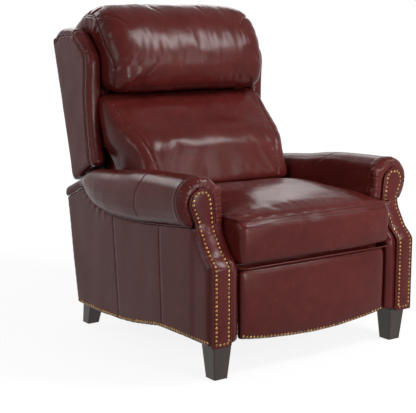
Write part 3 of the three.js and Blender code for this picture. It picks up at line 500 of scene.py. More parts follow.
def stitch_row(name, path, outs):
    """Short threads one behind another along a seam, each a slim rounded bar."""
    points, faces = [], []
    for before, place, after, out in zip(path, path[1:], path[2:], outs[1:]):
        ahead = (after - before) / np.linalg.norm(after - before)
        up = np.array(out) - ahead * np.dot(out, ahead)
        up /= np.linalg.norm(up)
        side = np.cross(ahead, up)
        start = len(points)
        for reach, width in stitch_shares:
            middle = place + ahead * reach * STITCH_LENGTH
            for angle in turns(STITCH_SIDES):
                away = side * math.cos(angle) + up * math.sin(angle)
                points.append(middle + width * STITCH_RADIUS * away)
        faces += ring_faces(start, len(stitch_shares), STITCH_SIDES)
        end = len(points)
        faces.append(tuple(reversed(range(start, start + STITCH_SIDES))))
        faces.append(tuple(range(end - STITCH_SIDES, end)))
    return made(name, points, faces)


# Materials

# Linear colours of the hide by share of its mottle, and its roughness from shiny to dull
dye_shares = (
    (0.32, (0.066, 0.0082, 0.0070)), (0.5, (0.086, 0.0112, 0.0095)), (0.68, (0.108, 0.0155, 0.0135)),
)
LEATHER_COLOR = (0.1, 0.014, 0.012)
LEATHER_ROUGHNESS = (0.20, 0.31)
LEATHER_SPECULAR = 0.16
MOTTLE_SHARE = 0.4
# Strength and distance of each kind of relief
CREASE_BUMP = (0.11, 0.0022)
GRAIN_BUMP = (0.09, 0.0004)
PORE_BUMP = (0.05, 0.0003)
WOOD_BUMP = (0.25, 0.0006)
METAL_BUMP = (0.12, 0.0002)
NYLON_BUMP = (0.1, 0.0003)
# How far the roughness of wood and metal goes below and above its middle
WOOD_SPREAD = (-0.08, 0.1)
METAL_SPREAD = (-0.08, 0.12)
# Shares of a texture at which a piece has its dark and its light colour
tone_shares = (0.3, 0.7)


def plain_material(name, color, roughness, metallic=0.0):
    material = bpy.data.materials.new(name)
    material.use_nodes = True
    shader = material.node_tree.nodes["Principled BSDF"]
    shader.inputs["Base Color"].default_value = (*color, 1)
    shader.inputs["Roughness"].default_value = roughness
    shader.inputs["Metallic"].default_value = metallic
    return material, shader


def node(owner, kind, **values):
    """A shader node in a material or a world, with its inputs and settings."""
    made_node = owner.node_tree.nodes.new(kind)
    for key, value in values.items():
        if key in made_node.inputs:
            made_node.inputs[key].default_value = value
        else:
            setattr(made_node, key, value)
    return made_node


def link(owner, start, end):
    owner.node_tree.links.new(start, end)


def place_on(owner):
    return node(owner, "ShaderNodeTexCoord").outputs["Object"]


def noise_on(owner, place, **values):
    """A noise texture at a place on the piece."""
    texture = node(owner, "ShaderNodeTexNoise", **values)
    link(owner, place, texture.inputs["Vector"])
    return texture.outputs["Fac"]


def ramp(owner, source, stops):
    """Colours by a value from 0 to 1."""
    made_ramp = node(owner, "ShaderNodeValToRGB")
    elements = made_ramp.color_ramp.elements
    while len(elements) < len(stops):
        elements.new(0.5)
    for element, (place, color) in zip(elements, stops):
        element.position = place
        element.color = (*color, 1)
    link(owner, source, made_ramp.inputs["Fac"])
    return made_ramp.outputs["Color"]


def spread_value(owner, source, low, high, reach=(0, 1)):
    """A value within its reach spread from low to high."""
    ends = dict(zip(("From Min", "From Max", "To Min", "To Max"), (*reach, low, high)))
    made_range = node(owner, "ShaderNodeMapRange", **ends)
    link(owner, source, made_range.inputs["Value"])
    return made_range.outputs["Result"]


def bumped(owner, height, strength, distance, before=None):
    bump = node(owner, "ShaderNodeBump", Strength=strength, Distance=distance)
    link(owner, height, bump.inputs["Height"])
    if before is not None:
        link(owner, before, bump.inputs["Normal"])
    return bump.outputs["Normal"]


def leather_material():
    """Oxblood hide: mottled dye, fine grain, faint creases and a soft shine."""
    material, shader = plain_material("oxblood_leather", LEATHER_COLOR, LEATHER_ROUGHNESS[HIGH])
    place = place_on(material)
    clouds = noise_on(material, place, Scale=4.5, Detail=3.0, Roughness=0.55)
    mottle = noise_on(material, place, Scale=34.0, Detail=5.0, Roughness=0.6)
    both = node(material, "ShaderNodeMix", data_type="FLOAT", Factor=MOTTLE_SHARE)
    link(material, clouds, both.inputs["A"])
    link(material, mottle, both.inputs["B"])
    link(material, ramp(material, both.outputs["Result"], dye_shares), shader.inputs["Base Color"])
    link(material, spread_value(material, mottle, *LEATHER_ROUGHNESS), shader.inputs["Roughness"])
    grain = node(material, "ShaderNodeTexVoronoi", Scale=520.0)
    link(material, place, grain.inputs["Vector"])
    pores = noise_on(material, place, Scale=900.0, Detail=2.0)
    creases = noise_on(material, place, Scale=22.0, Detail=4.0, Roughness=0.6, Distortion=1.2)
    normal = bumped(material, creases, *CREASE_BUMP)
    normal = bumped(material, grain.outputs["Distance"], *GRAIN_BUMP, normal)
    normal = bumped(material, pores, *PORE_BUMP, normal)
    link(material, normal, shader.inputs["Normal"])
    shader.inputs["Specular IOR Level"].default_value = LEATHER_SPECULAR
    return material


def toned(material, shader, tone, colors, height, bump):
    """Colour follows one texture, from dark to light, and the fine relief another."""
    link(material, ramp(material, tone, tuple(zip(tone_shares, colors))), shader.inputs["Base Color"])
    link(material, bumped(material, height, *bump), shader.inputs["Normal"])


def wood_material(name, dark, light, roughness, rings):
    """Grain that runs along the piece, and a varnish that varies a little."""
    material, shader = plain_material(name, light, roughness)
    drawn = node(material, "ShaderNodeMapping", Scale=rings)
    link(material, place_on(material), drawn.inputs["Vector"])
    place = drawn.outputs["Vector"]
    grain = noise_on(material, place, Scale=4.0, Detail=8.0, Roughness=0.65, Distortion=0.8)
    toned(material, shader, grain, (dark, light), grain, WOOD_BUMP)
    ends = [roughness + change for change in WOOD_SPREAD]
    link(material, spread_value(material, grain, *ends), shader.inputs["Roughness"])
    return material


def metal_material(name, dark, light, roughness):
    """Rolled steel or brass with faint blotches and fine scratches."""
    material, shader = plain_material(name, light, roughness, 1.0)
    place = place_on(material)
    blotch = noise_on(material, place, Scale=55.0, Detail=4.0)
    scratch = noise_on(material, place, Scale=700.0, Detail=2.0)
    toned(material, shader, blotch, (dark, light), scratch, METAL_BUMP)
    ends = [roughness + change for change in METAL_SPREAD]
    link(material, spread_value(material, blotch, *ends), shader.inputs["Roughness"])
    return material


def nylon_material(dark, light, roughness):
    material, shader = plain_material("nylon", light, roughness)
    haze = noise_on(material, place_on(material), Scale=80.0, Detail=3.0)
    toned(material, shader, haze, (dark, light), haze, NYLON_BUMP)
    return material


MATERIALS = {
    "oxblood_leather": leather_material(),
    "dark_wood": wood_material(
        "espresso_wood", (0.012, 0.006, 0.004), (0.035, 0.017, 0.010), 0.34, (9, 9, 1)),
    "frame_wood": wood_material("pine", (0.42, 0.27, 0.13), (0.62, 0.44, 0.25), 0.6, (9, 1, 9)),
    "plywood": wood_material("ply", (0.36, 0.24, 0.12), (0.52, 0.37, 0.21), 0.6, (12, 12, 1)),
    "black_steel": metal_material("black_steel", (0.020, 0.020, 0.022), (0.05, 0.05, 0.054), 0.42),
    "plain_steel": metal_material("zinc_steel", (0.34, 0.35, 0.36), (0.55, 0.56, 0.58), 0.36),
    "nylon": nylon_material((0.70, 0.67, 0.60), (0.80, 0.77, 0.70), 0.45),
    "brass_nails": metal_material("antique_brass", (0.11, 0.055, 0.020), (0.42, 0.25, 0.10), 0.27),
}


# Fitting pieces to the frame

WELT_RADIUS = 0.0028
FINE_VOXEL = 0.0045
VOXEL = 0.006
PANEL_ROUNDS = 4
FORM_ROUNDS = 10


def dress(piece, body, nodes=(), slot="oxblood_leather"):
    piece.data.materials.clear()
    piece.data.materials.append(MATERIALS[slot])
    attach(piece, body)
    if nodes:
        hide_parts(*nodes)


def dress_pair(piece, stem, body, nodes=(), slot="oxblood_leather"):
    """Finishes a piece made for the left side, and its twin on the right."""
    twin = mirrored(piece, f"{stem}_right")
    dress(piece, body, [f"{n}_left" for n in nodes], slot)
    dress(twin, body, [f"{n}_right" for n in nodes], slot)


def welt(name, path, body, radius=WELT_RADIUS):
    dress(tube(name, path, radius), body)


def welt_pair(stem, path, body, radius=WELT_RADIUS):
    dress_pair(tube(f"{stem}_left", path, radius), stem, body)


def nails_pair(stem, path, outs, body):
    dress_pair(nail_row(f"{stem}_left", path, outs), stem, body, (), "brass_nails")


def paint_frame():
    """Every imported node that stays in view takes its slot's material."""
    for subpart in frame["record"]["subparts"]:
        packed = frame["nodes"][subpart["node"]]
        packed.data.materials.clear()
        packed.data.materials.append(MATERIALS[subpart["material_slot"]])


# Arms. A groove has a width and a depth, folds have a pitch, a depth, a reach and a seed, and a
# ripple has a size, a depth, a seed and where it matters a stretch.

NAIL_INSET = 0.011
STITCH_OFFSET = 0.0045
# Where each seam of the side starts at the hem and ends under the roll
side_seams = ((0.009, 0.039), (-0.249, -0.235))
GROOVE_OFFSET = 0.009
SEAM_GROOVE = (0.0028, 0.0024)
POST_FILL = 0.005
SIDE_FACING = 0.5
SHELL_RIPPLE = (0.16, 0.0016, 3, (0.4, 1, 0.5))
# Run of the outer seam under which the side is gathered
TAIL_RUN = (0.08, 0.22)
TAIL_FOLDS = (0.034, 0.0026, 0.026, 2.0)


def stitches(stem, path, surface, body, pair=True):
    """A stitched line beside a seam, on the left side or on both."""
    places, outs = laid(evenly(path, STITCH_PITCH), surface)
    if pair:
        dress_pair(stitch_row(f"{stem}_left", places, outs), stem, body)
    else:
        dress(stitch_row(stem, places, outs), body)


def arm_shell():
    """The post and the outer panel are one skin of leather, with two sewn seams down the side."""
    nodes = ("arm_post_left", "arm_outer_panel_left")
    shell = soft_copy("arm_shell_left", nodes, FINE_VOXEL, FORM_ROUNDS)
    ripple(shell, *SHELL_RIPPLE)
    points = points_of(shell)
    inside = (normals_of(shell)[:, X] < -SIDE_FACING) & (points[:, X] < arm_inner_x + POST_FILL)
    points[:, X] -= POST_FILL * inside
    move_to(shell, points)
    relax(shell, 1)
    for foot_y, head_y in side_seams:
        press(shell, side_seam(foot_y, head_y), *SEAM_GROOVE)
    tail = [(arm_outer_x, y, seam_at(y)) for y in np.linspace(*TAIL_RUN, SHORT_STEPS)]
    pucker(shell, evenly(tail, WELT_STEP / 2), *TAIL_FOLDS)
    for x_at, offset in ((facing_outer_at, GROOVE_OFFSET), (facing_inner_at, -GROOVE_OFFSET)):
        levels = np.linspace(base_z, post_top_z, POST_STEPS)
        groove = [(x_at(z) + offset, facing_y_at(z) + GROOVE_OFFSET, z) for z in levels]
        press(shell, laid(groove, surface_of(shell))[0], *SEAM_GROOVE)
    return shell


def side_seam(foot_y, head_y, offset=0.0):
    """Upright seam line on the outside of the arm."""
    ys = np.linspace(foot_y, head_y, SHORT_STEPS)
    zs = np.linspace(hem_at(foot_y), seam_at(head_y), SHORT_STEPS)
    return evenly([(arm_outer_x, y + offset, z) for y, z in zip(ys, zs)], WELT_STEP / 2)


def build_arms():
    shell = arm_shell()
    skin = surface_of(shell)
    foot_y = back_foot_y - ARM_REAR_INSET
    hem_ys = np.linspace(post_front_y + NAIL_INSET, foot_y - NAIL_INSET, HEM_STEPS)
    hem = [(arm_outer_x, y, hem_at(y) + NAIL_INSET) for y in hem_ys]
    nails_pair("hem_nails", *laid(evenly(hem, NAIL_PITCH), skin), "base")
    for number, (foot, head) in enumerate(side_seams, 1):
        stitches(f"side_stitches_{number}", side_seam(foot, head, STITCH_OFFSET), skin, "base")
    dress_pair(shell, "arm_shell", "base", ("arm_post", "arm_outer_panel"))
    rear = soft_copy("arm_rear_left", ("arm_rear_panel_left",), FINE_VOXEL, PANEL_ROUNDS)
    dress_pair(rear, "arm_rear", "base", ("arm_rear_panel",))
    build_rolls()
    build_facings()


# The seam that crosses the roll, from its outer side over the top and down the inner side
cross_seam_points = [
    (0.430, -0.167, 0.442), (0.446, -0.160, 0.467), (0.446, -0.170, 0.516), (0.430, -0.180, 0.548),
    (0.395, -0.174, 0.575), (0.345, -0.150, 0.575), (0.313, -0.118, 0.545), (0.303, -0.092, 0.506),
    (0.300, -0.070, 0.467), (0.297, -0.060, 0.420),
]
ROLL_FILL = 0.005
ROLL_RIPPLE = (0.12, 0.0018, 14, (1, 0.6, 1))
HEAD_FILL = 0.0045
HEAD_SETBACK = 0.006
HEAD_BAND = 0.029
HEAD_GROOVE = (0.0034, 0.0034)
# Pitch, depth and reach of the tucks
HEAD_PLEATS = (0.034, 0.0036, 0.024)
# Angles between which the head's line goes over the roll, and its pieces down the inner side
HEAD_ARC = (-55, 180)
HEAD_DOWN_STEPS = 12
FACING_GAP = 0.005
FACING_GROOVE = (0.0035, 0.0045)
OUTER_SEAM_LIFT = 0.001
OUTER_SEAM_END = 0.01
OUTER_SEAM_FOLDS = (0.045, 0.0009, 0.018, 5.0)
CROSS_GROOVE = (0.0026, 0.0014)
# Stuffing in the neck, between the post and the inside of the arm
NECK_BLOCK = ((0.3035, -0.4175, 0.425), (0.345, -0.392, 0.545))


def build_rolls():
    """The rolled top and the inside of the arm are one skin, with tucks round the head of the roll."""
    nodes = ("arm_roll_left", "arm_inner_panel_left")
    roll = soft_copy("arm_top_left", nodes, FINE_VOXEL, PANEL_ROUNDS, (NECK_BLOCK,))
    divide(roll)
    ripple(roll, *ROLL_RIPPLE)
    points = points_of(roll)
    high = smooth_step(points[:, Z], post_top_z, arm_height)
    points[:, Z] += ROLL_FILL * high * (1 - smooth_step(points[:, Y], 0, roll_tail_y))
    distance, _ = beside(points, head_line(roll_face_y + HEAD_SETBACK))
    move_to(roll, points + normals_of(roll) * (HEAD_FILL * band(distance, HEAD_BAND))[:, None])
    press(roll, laid(head_line(roll_face_y + HEAD_BAND), surface_of(roll))[0], *HEAD_GROOVE)
    pleat(roll, head_line(roll_face_y + HEAD_SETBACK), *HEAD_PLEATS)
    around = facing_edge(-FACING_GAP, WELT_STEP / 2)
    around = around[around[:, Z] > post_top_z]
    around[:, Y] = roll_face_y
    press(roll, around, *FACING_GROOVE)
    seam_ys = np.linspace(post_rear_y, roll_tail_y - OUTER_SEAM_END, ROLL_STEPS)
    outer_seam = evenly([(arm_outer_x + OUTER_SEAM_LIFT, y, seam_at(y)) for y in seam_ys], WELT_STEP)
    pucker(roll, outer_seam, *OUTER_SEAM_FOLDS)
    cross = curved(cross_seam_points, WELT_STEP / 2)
    press(roll, laid(cross, surface_of(roll))[0], *CROSS_GROOVE)
    stitches("roll_stitches", cross + (0, STITCH_OFFSET, 0), surface_of(roll), "base")
    welt_pair("roll_welt", outer_seam, "base")
    dress_pair(roll, "arm_top", "base", ("arm_roll", "arm_inner_panel"))


def head_line(y):
    """Line over the head of the roll, from its outer underside over the top and down its inner side."""
    inner_x = corner("arm_roll_left", LOW, X)
    middle_x, middle_z = (roll_outer_x + inner_x) / 2, (arm_height + post_top_z) / 2
    half_x, half_z = (roll_outer_x - inner_x) / 2, (arm_height - post_top_z) / 2
    angles = np.radians(np.linspace(*HEAD_ARC, ROLL_STEPS))
    over = [(middle_x + half_x * math.cos(a), y, middle_z + half_z * math.sin(a)) for a in angles]
    down = [(inner_x, y, z) for z in np.linspace(middle_z, post_top_z, HEAD_DOWN_STEPS)[1:]]
    return evenly(over + down, WELT_STEP / 2)


FACING_EDGE = 0.0035
FACING_CROWN = 0.004
FACING_CROWN_POWER = 0.8
# Share of its thickness by which the face of the facing stands proud of its edge
FACING_FACE_SHARE = 0.8
FACING_ROUND_OFF = 0.012
FACING_LIFT = 0.005
FACING_NAIL_INSET = 0.0088
FACING_FOOT_STEPS = 6
FACING_HEAD_STEPS = 9
BEAD_OUTSET = 0.001
BEAD_RADIUS = 0.0034


def facing_edge(inset, step=NAIL_PITCH):
    """Path round the facing, an inset inside its edge: up the outer side, round the head, down again."""
    levels = np.linspace(base_z + inset, facing_top_z - inset, BEAD_STEPS)
    outer = [(facing_outer_at(z) - inset, facing_y_at(z), z) for z in levels]
    inner = [(facing_inner_at(z) + inset, facing_y_at(z), z) for z in levels]
    foot_xs = np.linspace(inner[0][X], outer[0][X], FACING_FOOT_STEPS)[1:-1]
    foot = [(x, facing_y_at(base_z), base_z + inset) for x in foot_xs]
    return evenly(outer + inner[::-1] + foot + outer[:1], step)


def build_facings():
    """Strip of leather that climbs the front of the post to the face of the roll, nailed all round."""
    thickness = corner("arm_facing_left", HIGH, Y) - facing_front_y - FACING_SWEEP
    down_shares = 1 - np.linspace(0, 1, FACING_HEAD_STEPS)[1:]
    near_top = facing_top_z - FACING_ROUND_OFF * down_shares ** 2
    straight = np.linspace(base_z, facing_top_z - FACING_ROUND_OFF, FACING_STEPS)
    edge_shares = np.array([0, 0.004, 0.02, 0.05])
    across_shares = np.concatenate([edge_shares, np.linspace(0.1, 0.9, 17), 1 - edge_shares[::-1]])
    rows = []
    for z in np.concatenate([straight, near_top]):
        inner, outer, front = facing_inner_at(z), facing_outer_at(z), facing_y_at(z)
        edge = np.minimum(across_shares, 1 - across_shares) * (outer - inner)
        rise = np.sqrt(np.clip(1 - (1 - np.minimum(edge / FACING_EDGE, 1)) ** 2, 0, 1))
        crown = FACING_CROWN * np.sin(np.pi * across_shares) ** FACING_CROWN_POWER
        rows.append([
            (inner + share * (outer - inner), front + thickness * (1 - FACING_FACE_SHARE * r) - c, z)
            for share, r, c in zip(across_shares, rise, crown)
        ])
    facing = sheet_solid("facing_left", rows)
    move_to(facing, lifted(points_of(facing)))
    nails_pair("facing_nails", *laid(lifted(facing_edge(FACING_NAIL_INSET)), surface_of(facing)), "base")
    bead = facing_edge(-BEAD_OUTSET, WELT_STEP) + (0, thickness / 2, 0)
    welt_pair("facing_bead", lifted(bead), "base", BEAD_RADIUS)
    dress_pair(facing, "facing", "base", ("arm_facing",))


def lifted(points):
    """Points of the facing after its head has risen with the stuffing of the roll."""
    rise = FACING_LIFT * smooth_step(points[:, Z], post_top_z, facing_top_z)
    return points + np.array([0, 0, 1]) * rise[:, None]


def sheet_solid(name, rows):
    """Closed solid between a grid of points and the flat plane behind each of its rows."""
    rows = np.array(rows)
    height, width = rows.shape[:2]
    front = rows.reshape(-1, 3)
    flat = front.copy()
    flat[:, Y] = np.repeat(rows[:, 0, Y], width)
    offset = len(front)
    faces = []
    for r in range(height - 1):
        for c in range(width - 1):
            a, b = r * width + c, r * width + c + 1
            d, e = a + width, b + width
            faces.append((a, b, e, d))
            faces.append((offset + a, offset + d, offset + e, offset + b))
    return made(name, np.vstack([front, flat]), faces)


# Cushions

COVER_SLACK = -0.02
COVER_THICKNESS = 0.0016
SEAM_REACH = 0.007
STUFFING_PRESSURE = 4.0
SWELL_FRAMES = 20
SEAT_ROUNDS = 4
SEAT_CORNER = 0.034
CORNER_STEPS = 9
SEAT_SIDE_STEPS = 12
# Heights of the welts above the foot of the seat cushion, and how far ahead of its rear they end
SEAT_TOP_WELT_RISE = 0.133
SEAT_FOOT_WELT_RISE = 0.006
SEAT_WELT_END = 0.05
SEAT_WELT_RADIUS = 0.0022
# The most that the stuffing moves a cushion's cover, and the share of it that is kept
SEAT_SWELL = (0.009, 0.35)
LUMBAR_SWELL = (0.012, 0.2)
PILLOW_SWELL = (0.012, 0.35)
SEAT_RELAX = 2
SEAT_GROOVE = (0.006, 0.0016)
SEAT_FOLDS = (0.060, 0.0009, 0.090, 1.0)
SEAT_RIPPLE = (0.15, 0.0030, 21)
SEAT_DROOP = 0.012
DROOP_RUN = 0.045
DROOP_START = 0.015
DROOP_HEIGHT = 0.100


def swell(piece, held, cap, kept_share):
    """Blows a cushion up like a stuffed cover, and keeps a share of that. Held vertices stay."""
    before = points_of(piece)
    pins = piece.vertex_groups.new(name="held")
    pins.add([int(i) for i in np.flatnonzero(held)], 1.0, "REPLACE")
    cloth = piece.modifiers.new("stuffing", "CLOTH")
    cloth.settings.use_pressure = True
    cloth.settings.uniform_pressure_force = STUFFING_PRESSURE
    cloth.settings.effector_weights.gravity = 0
    cloth.settings.vertex_group_mass = "held"
    cloth.settings.shrink_min = COVER_SLACK
    for number in range(1, SWELL_FRAMES + 1):
        bpy.context.scene.frame_set(number)
    settle(piece)
    piece.vertex_groups.clear()
    bpy.context.scene.frame_set(1)
    moved = points_of(piece) - before
    length = np.linalg.norm(moved, axis=1)
    share = kept_share * np.minimum(1, cap / np.maximum(length, WELD))
    move_to(piece, before + moved * share[:, None])


def seat_plan(half, front_y, rear_y):
    """Line round the sides and the front of the seat cushion, with round corners."""
    angles = np.radians(np.linspace(0, 90, CORNER_STEPS))
    right = [(half, y) for y in np.linspace(rear_y, front_y + 1.5 * SEAT_CORNER, SEAT_SIDE_STEPS)]
    for a in angles:
        right.append((half - SEAT_CORNER * (1 - math.cos(a)), front_y + SEAT_CORNER * (1 - math.sin(a))))
    left = [(-x, y) for x, y in reversed(right)]
    return right + left


def round_corners(cushion, half, front_y):
    """Draws the front corners of the seat cushion in to an upright quarter round."""
    points = points_of(cushion)
    across = np.abs(points[:, X]) - (half - SEAT_CORNER)
    beyond = np.stack([across, front_y + SEAT_CORNER - points[:, Y]], axis=1)
    reach = np.linalg.norm(beyond, axis=1)
    outside = (beyond > 0).all(axis=1) & (reach > SEAT_CORNER)
    shrink = 1 - SEAT_CORNER / reach[outside]
    points[outside, X] -= np.sign(points[outside, X]) * beyond[outside, X] * shrink
    points[outside, Y] += beyond[outside, Y] * shrink
    move_to(cushion, points)


def build_seat_cushion():
    """Boxed cushion: a crowned top, an upright band with round front corners, and a welt on each edge."""
    cushion = soft_copy("seat_pad", ("seat_cushion",), VOXEL, SEAT_ROUNDS)
    low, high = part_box("seat_cushion")
    round_corners(cushion, high[X], low[Y])
    plan = seat_plan(high[X], low[Y], high[Y] - SEAT_WELT_END)
    top_z, foot_z = low[Z] + SEAT_TOP_WELT_RISE, low[Z] + SEAT_FOOT_WELT_RISE
    upper, lower = (evenly([(x, y, z) for x, y in plan], WELT_STEP / 2) for z in (top_z, foot_z))
    points = points_of(cushion)
    held = (points[:, Z] < foot_z) | (points[:, Y] < low[Y] + SEAT_CORNER)
    for path in (upper, lower):
        held |= beside(points, path)[0] < SEAM_REACH
    swell(cushion, held, *SEAT_SWELL)
    relax(cushion, SEAT_RELAX)
    divide(cushion)
    for path in (upper, lower):
        press(cushion, path, *SEAT_GROOVE)
    flat = points_of(cushion)
    pucker(cushion, upper, *SEAT_FOLDS)
    above = flat[:, Z] > top_z
    move_to(cushion, np.where(above[:, None], points_of(cushion), flat))
    ripple(cushion, *SEAT_RIPPLE)
    move_to(cushion, drooped(points_of(cushion)))
    for name, path in (("seat_welt_top", upper), ("seat_welt_foot", drooped(lower))):
        welt(name, path, "seat", SEAT_WELT_RADIUS)
    dress(cushion, "seat", ("seat_cushion",))


def drooped(points):
    """Points of the seat cushion after its lower front edge has sunk a little ahead of the rail."""
    low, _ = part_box("seat_cushion")
    ahead = smooth_step(low[Y] + DROOP_RUN + DROOP_START - points[:, Y], 0, DROOP_RUN)
    under = 1 - smooth_step(points[:, Z], low[Z] + DROOP_START, low[Z] + DROOP_HEIGHT)
    return points - np.array([0, 0, SEAT_DROOP]) * (ahead * under)[:, None]


def build_seat_lip():
    """Leather over the rail under the front of the cushion."""
    lip = soft_copy("seat_lip", ("seat_front_rail",), FINE_VOXEL, PANEL_ROUNDS)
    push_out(lip, np.full(len(lip.data.vertices), COVER_THICKNESS))
    dress(lip, "seat", ("seat_front_rail",))


# The seam between the front of the back cushion and its side, from the head pillow downwards
gusset_points = [
    (0.298, 0.200, 0.742), (0.288, 0.140, 0.695), (0.273, 0.080, 0.640), (0.256, 0.030, 0.592),
    (0.243, 0.000, 0.545), (0.238, -0.008, 0.500), (0.238, -0.008, 0.470),
]
# How much wider the cushion is at its foot, above the arms, and at its rear there
FOOT_SPREAD = 0.015
LUMBAR_SPREAD = 0.055
REAR_SPREAD = 0.060
REAR_RUN = (0.05, 0.17)
LUMBAR_FLARE = 0.100
LUMBAR_PLUMP = 0.030
LUMBAR_PUSH = (0, -0.88, 0.40)
# Heights between which the plumpness comes, and between which it goes again
LUMBAR_RISE = (0.53, 0.71)
LUMBAR_FALL = (0.71, 0.79)
LUMBAR_ROUNDS = 24
LUMBAR_REAR = 0.02
LUMBAR_GROOVE = (0.0035, 0.0026)
LUMBAR_FOLDS = (0.040, 0.0007, 0.035, 6.0)
LUMBAR_RIPPLE = (0.15, 0.0035, 33)


def build_back_cushion():
    """Plump cushion that widens above the arms to meet the wings, with a sewn seam down each side."""
    cushion = soft_copy("lumbar_pad", ("back_cushion",), VOXEL, FORM_ROUNDS)
    _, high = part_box("back_cushion")
    points = points_of(cushion)
    facing_front = np.clip(-normals_of(cushion)[:, Y], 0, 1)
    across = np.clip(1 - (points[:, X] / high[X]) ** 2, 0, 1)
    upwards = smooth_step(points[:, Z], *LUMBAR_RISE) * (1 - smooth_step(points[:, Z], *LUMBAR_FALL))
    above_arm = points[:, Z] - roll_top_at(points[:, Y])
    spread = LUMBAR_SPREAD + REAR_SPREAD * smooth_step(points[:, Y], *REAR_RUN)
    points[:, X] *= 1 + FOOT_SPREAD + spread * smooth_step(above_arm, 0, LUMBAR_FLARE)
    points += np.array(LUMBAR_PUSH) * (LUMBAR_PLUMP * across * upwards * facing_front)[:, None]
    move_to(cushion, points)
    relax(cushion, LUMBAR_ROUNDS)
    seams = laid_twice(gusset_points, surface_of(cushion))
    points = points_of(cushion)
    held = points[:, Y] > high[Y] - LUMBAR_REAR
    for seam in seams:
        held |= beside(points, seam)[0] < SEAM_REACH
    swell(cushion, held, *LUMBAR_SWELL)
    divide(cushion)
    for seam in seams:
        press(cushion, seam, *LUMBAR_GROOVE)
        pucker(cushion, seam, *LUMBAR_FOLDS)
    ripple(cushion, *LUMBAR_RIPPLE)
    surface = surface_of(cushion)
    for seam, (side_name, side) in zip(seams, SIDES):
        beside_seam = seam - (side * STITCH_OFFSET, 0, 0)
        stitches(f"lumbar_stitches_{side_name}", beside_seam, surface, "back", False)
    dress(cushion, "back", ("back_cushion",))


# The welt round each end of the head pillow, as places behind and above the floor at its end
pillow_ring = [
    (0.430, 1.044), (0.395, 1.046), (0.356, 1.040), (0.311, 1.033), (0.278, 1.007), (0.244, 0.958),
    (0.214, 0.920), (0.190, 0.885), (0.183, 0.846), (0.206, 0.802), (0.250, 0.786),
]
# Creases that run from the upper corners of the pillow into its front
pillow_creases = (
    ((0.308, 0.286, 1.036), (0.302, 0.257, 1.038), (0.283, 0.244, 1.037), (0.265, 0.236, 1.032),
     (0.252, 0.226, 1.023), (0.235, 0.216, 1.012)),
    ((0.306, 0.330, 1.046), (0.297, 0.318, 1.056), (0.280, 0.312, 1.064)),
    ((0.306, 0.362, 1.046), (0.294, 0.362, 1.058), (0.276, 0.362, 1.066)),
)


PILLOW_TAPER = 0.14
PILLOW_TAPER_POWER = 2.4
PILLOW_END = 0.060
PILLOW_RING_INSET = 0.003
PILLOW_REAR = 0.05
PILLOW_GROOVE = (0.005, 0.003)
PILLOW_FOLDS = (0.040, 0.0012, 0.050, 11.0)
CREASE_GROOVE = (0.0045, 0.0040)
PILLOW_RIPPLE = (0.13, 0.0030, 45)
PILLOW_FINE_RIPPLE = (0.030, 0.0007, 47, (1, 0.2, 0.2))
PILLOW_WELT_LIFT = 0.0006


def build_head_pillow():
    """Long soft pillow with a welt round each end, tucked at its corners."""
    pillow = soft_copy("head_pad", ("head_pillow",), VOXEL, FORM_ROUNDS)
    low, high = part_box("head_pillow")
    centre = (np.array(low) + np.array(high)) / 2
    points = points_of(pillow)
    end_share = np.clip((np.abs(points[:, X]) - high[X]) / PILLOW_END + 1, 0, 1)
    taper = PILLOW_TAPER * end_share ** PILLOW_TAPER_POWER
    points[:, Y] -= taper * (points[:, Y] - centre[Y]) * (points[:, Y] < centre[Y])
    points[:, Z] -= taper * (points[:, Z] - centre[Z])
    move_to(pillow, points)
    ring_points = [(high[X] - PILLOW_RING_INSET, y, z) for y, z in pillow_ring]
    rings = laid_twice(ring_points, surface_of(pillow))
    held = points[:, Y] > high[Y] - PILLOW_REAR
    for ring in rings:
        held |= beside(points, ring)[0] < SEAM_REACH
    swell(pillow, held, *PILLOW_SWELL)
    divide(pillow)
    for ring in rings:
        press(pillow, ring, *PILLOW_GROOVE)
        pucker(pillow, ring, *PILLOW_FOLDS)
    surface = surface_of(pillow)
    for crease in pillow_creases:
        for path in laid_twice(crease, surface):
            press(pillow, path, *CREASE_GROOVE)
    ripple(pillow, *PILLOW_RIPPLE)
    ripple(pillow, *PILLOW_FINE_RIPPLE)
    surface = surface_of(pillow)
    for ring, (side_name, _) in zip(rings, SIDES):
        welt(f"pillow_welt_{side_name}", laid(ring, surface, PILLOW_WELT_LIFT)[0], "back")
    dress(pillow, "back", ("head_pillow",))


# Wings and the outside of the back

PANEL_SETBACK = 0.0143
WING_DEPTH = 0.222
WING_BOXING = 0.021
WING_WELT_LIFT = 0.0004
WING_PUFF = 0.0022
WING_BAND = 0.034
# How far the band is filled inwards and forwards
WING_FILL = (0.010, 0.007)
WING_FOOT = 0.22
WING_FOOT_FILL = 0.009
WING_WRAP = 0.040
PANEL_WRAP = 0.0165
WING_GROOVE = (0.0055, 0.0042)
WING_FOLDS = (0.040, 0.0009, 0.020, 17.0)
WING_RIPPLE = (0.14, 0.0018, 51)
TUCK_GROOVE = (0.0030, 0.0026)
TUCK_STEPS = 24
PANEL_RIPPLE = (0.2, 0.0015, 61)
# Heights of the seam and the tucks that cross the band
wing_tuck_shares = (0.86, 0.955, 0.985)


def wing_point(depth_share, height_share):
    """A point of the wing's outline seen from the side."""
    low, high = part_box("wing_left")
    z = low[Z] + height_share * (high[Z] - low[Z])
    panel_y = back_foot_y + (z - back_foot_z) * math.tan(BACK_LEAN) - PANEL_SETBACK / math.cos(BACK_LEAN)
    return panel_y - depth_share * WING_DEPTH, z


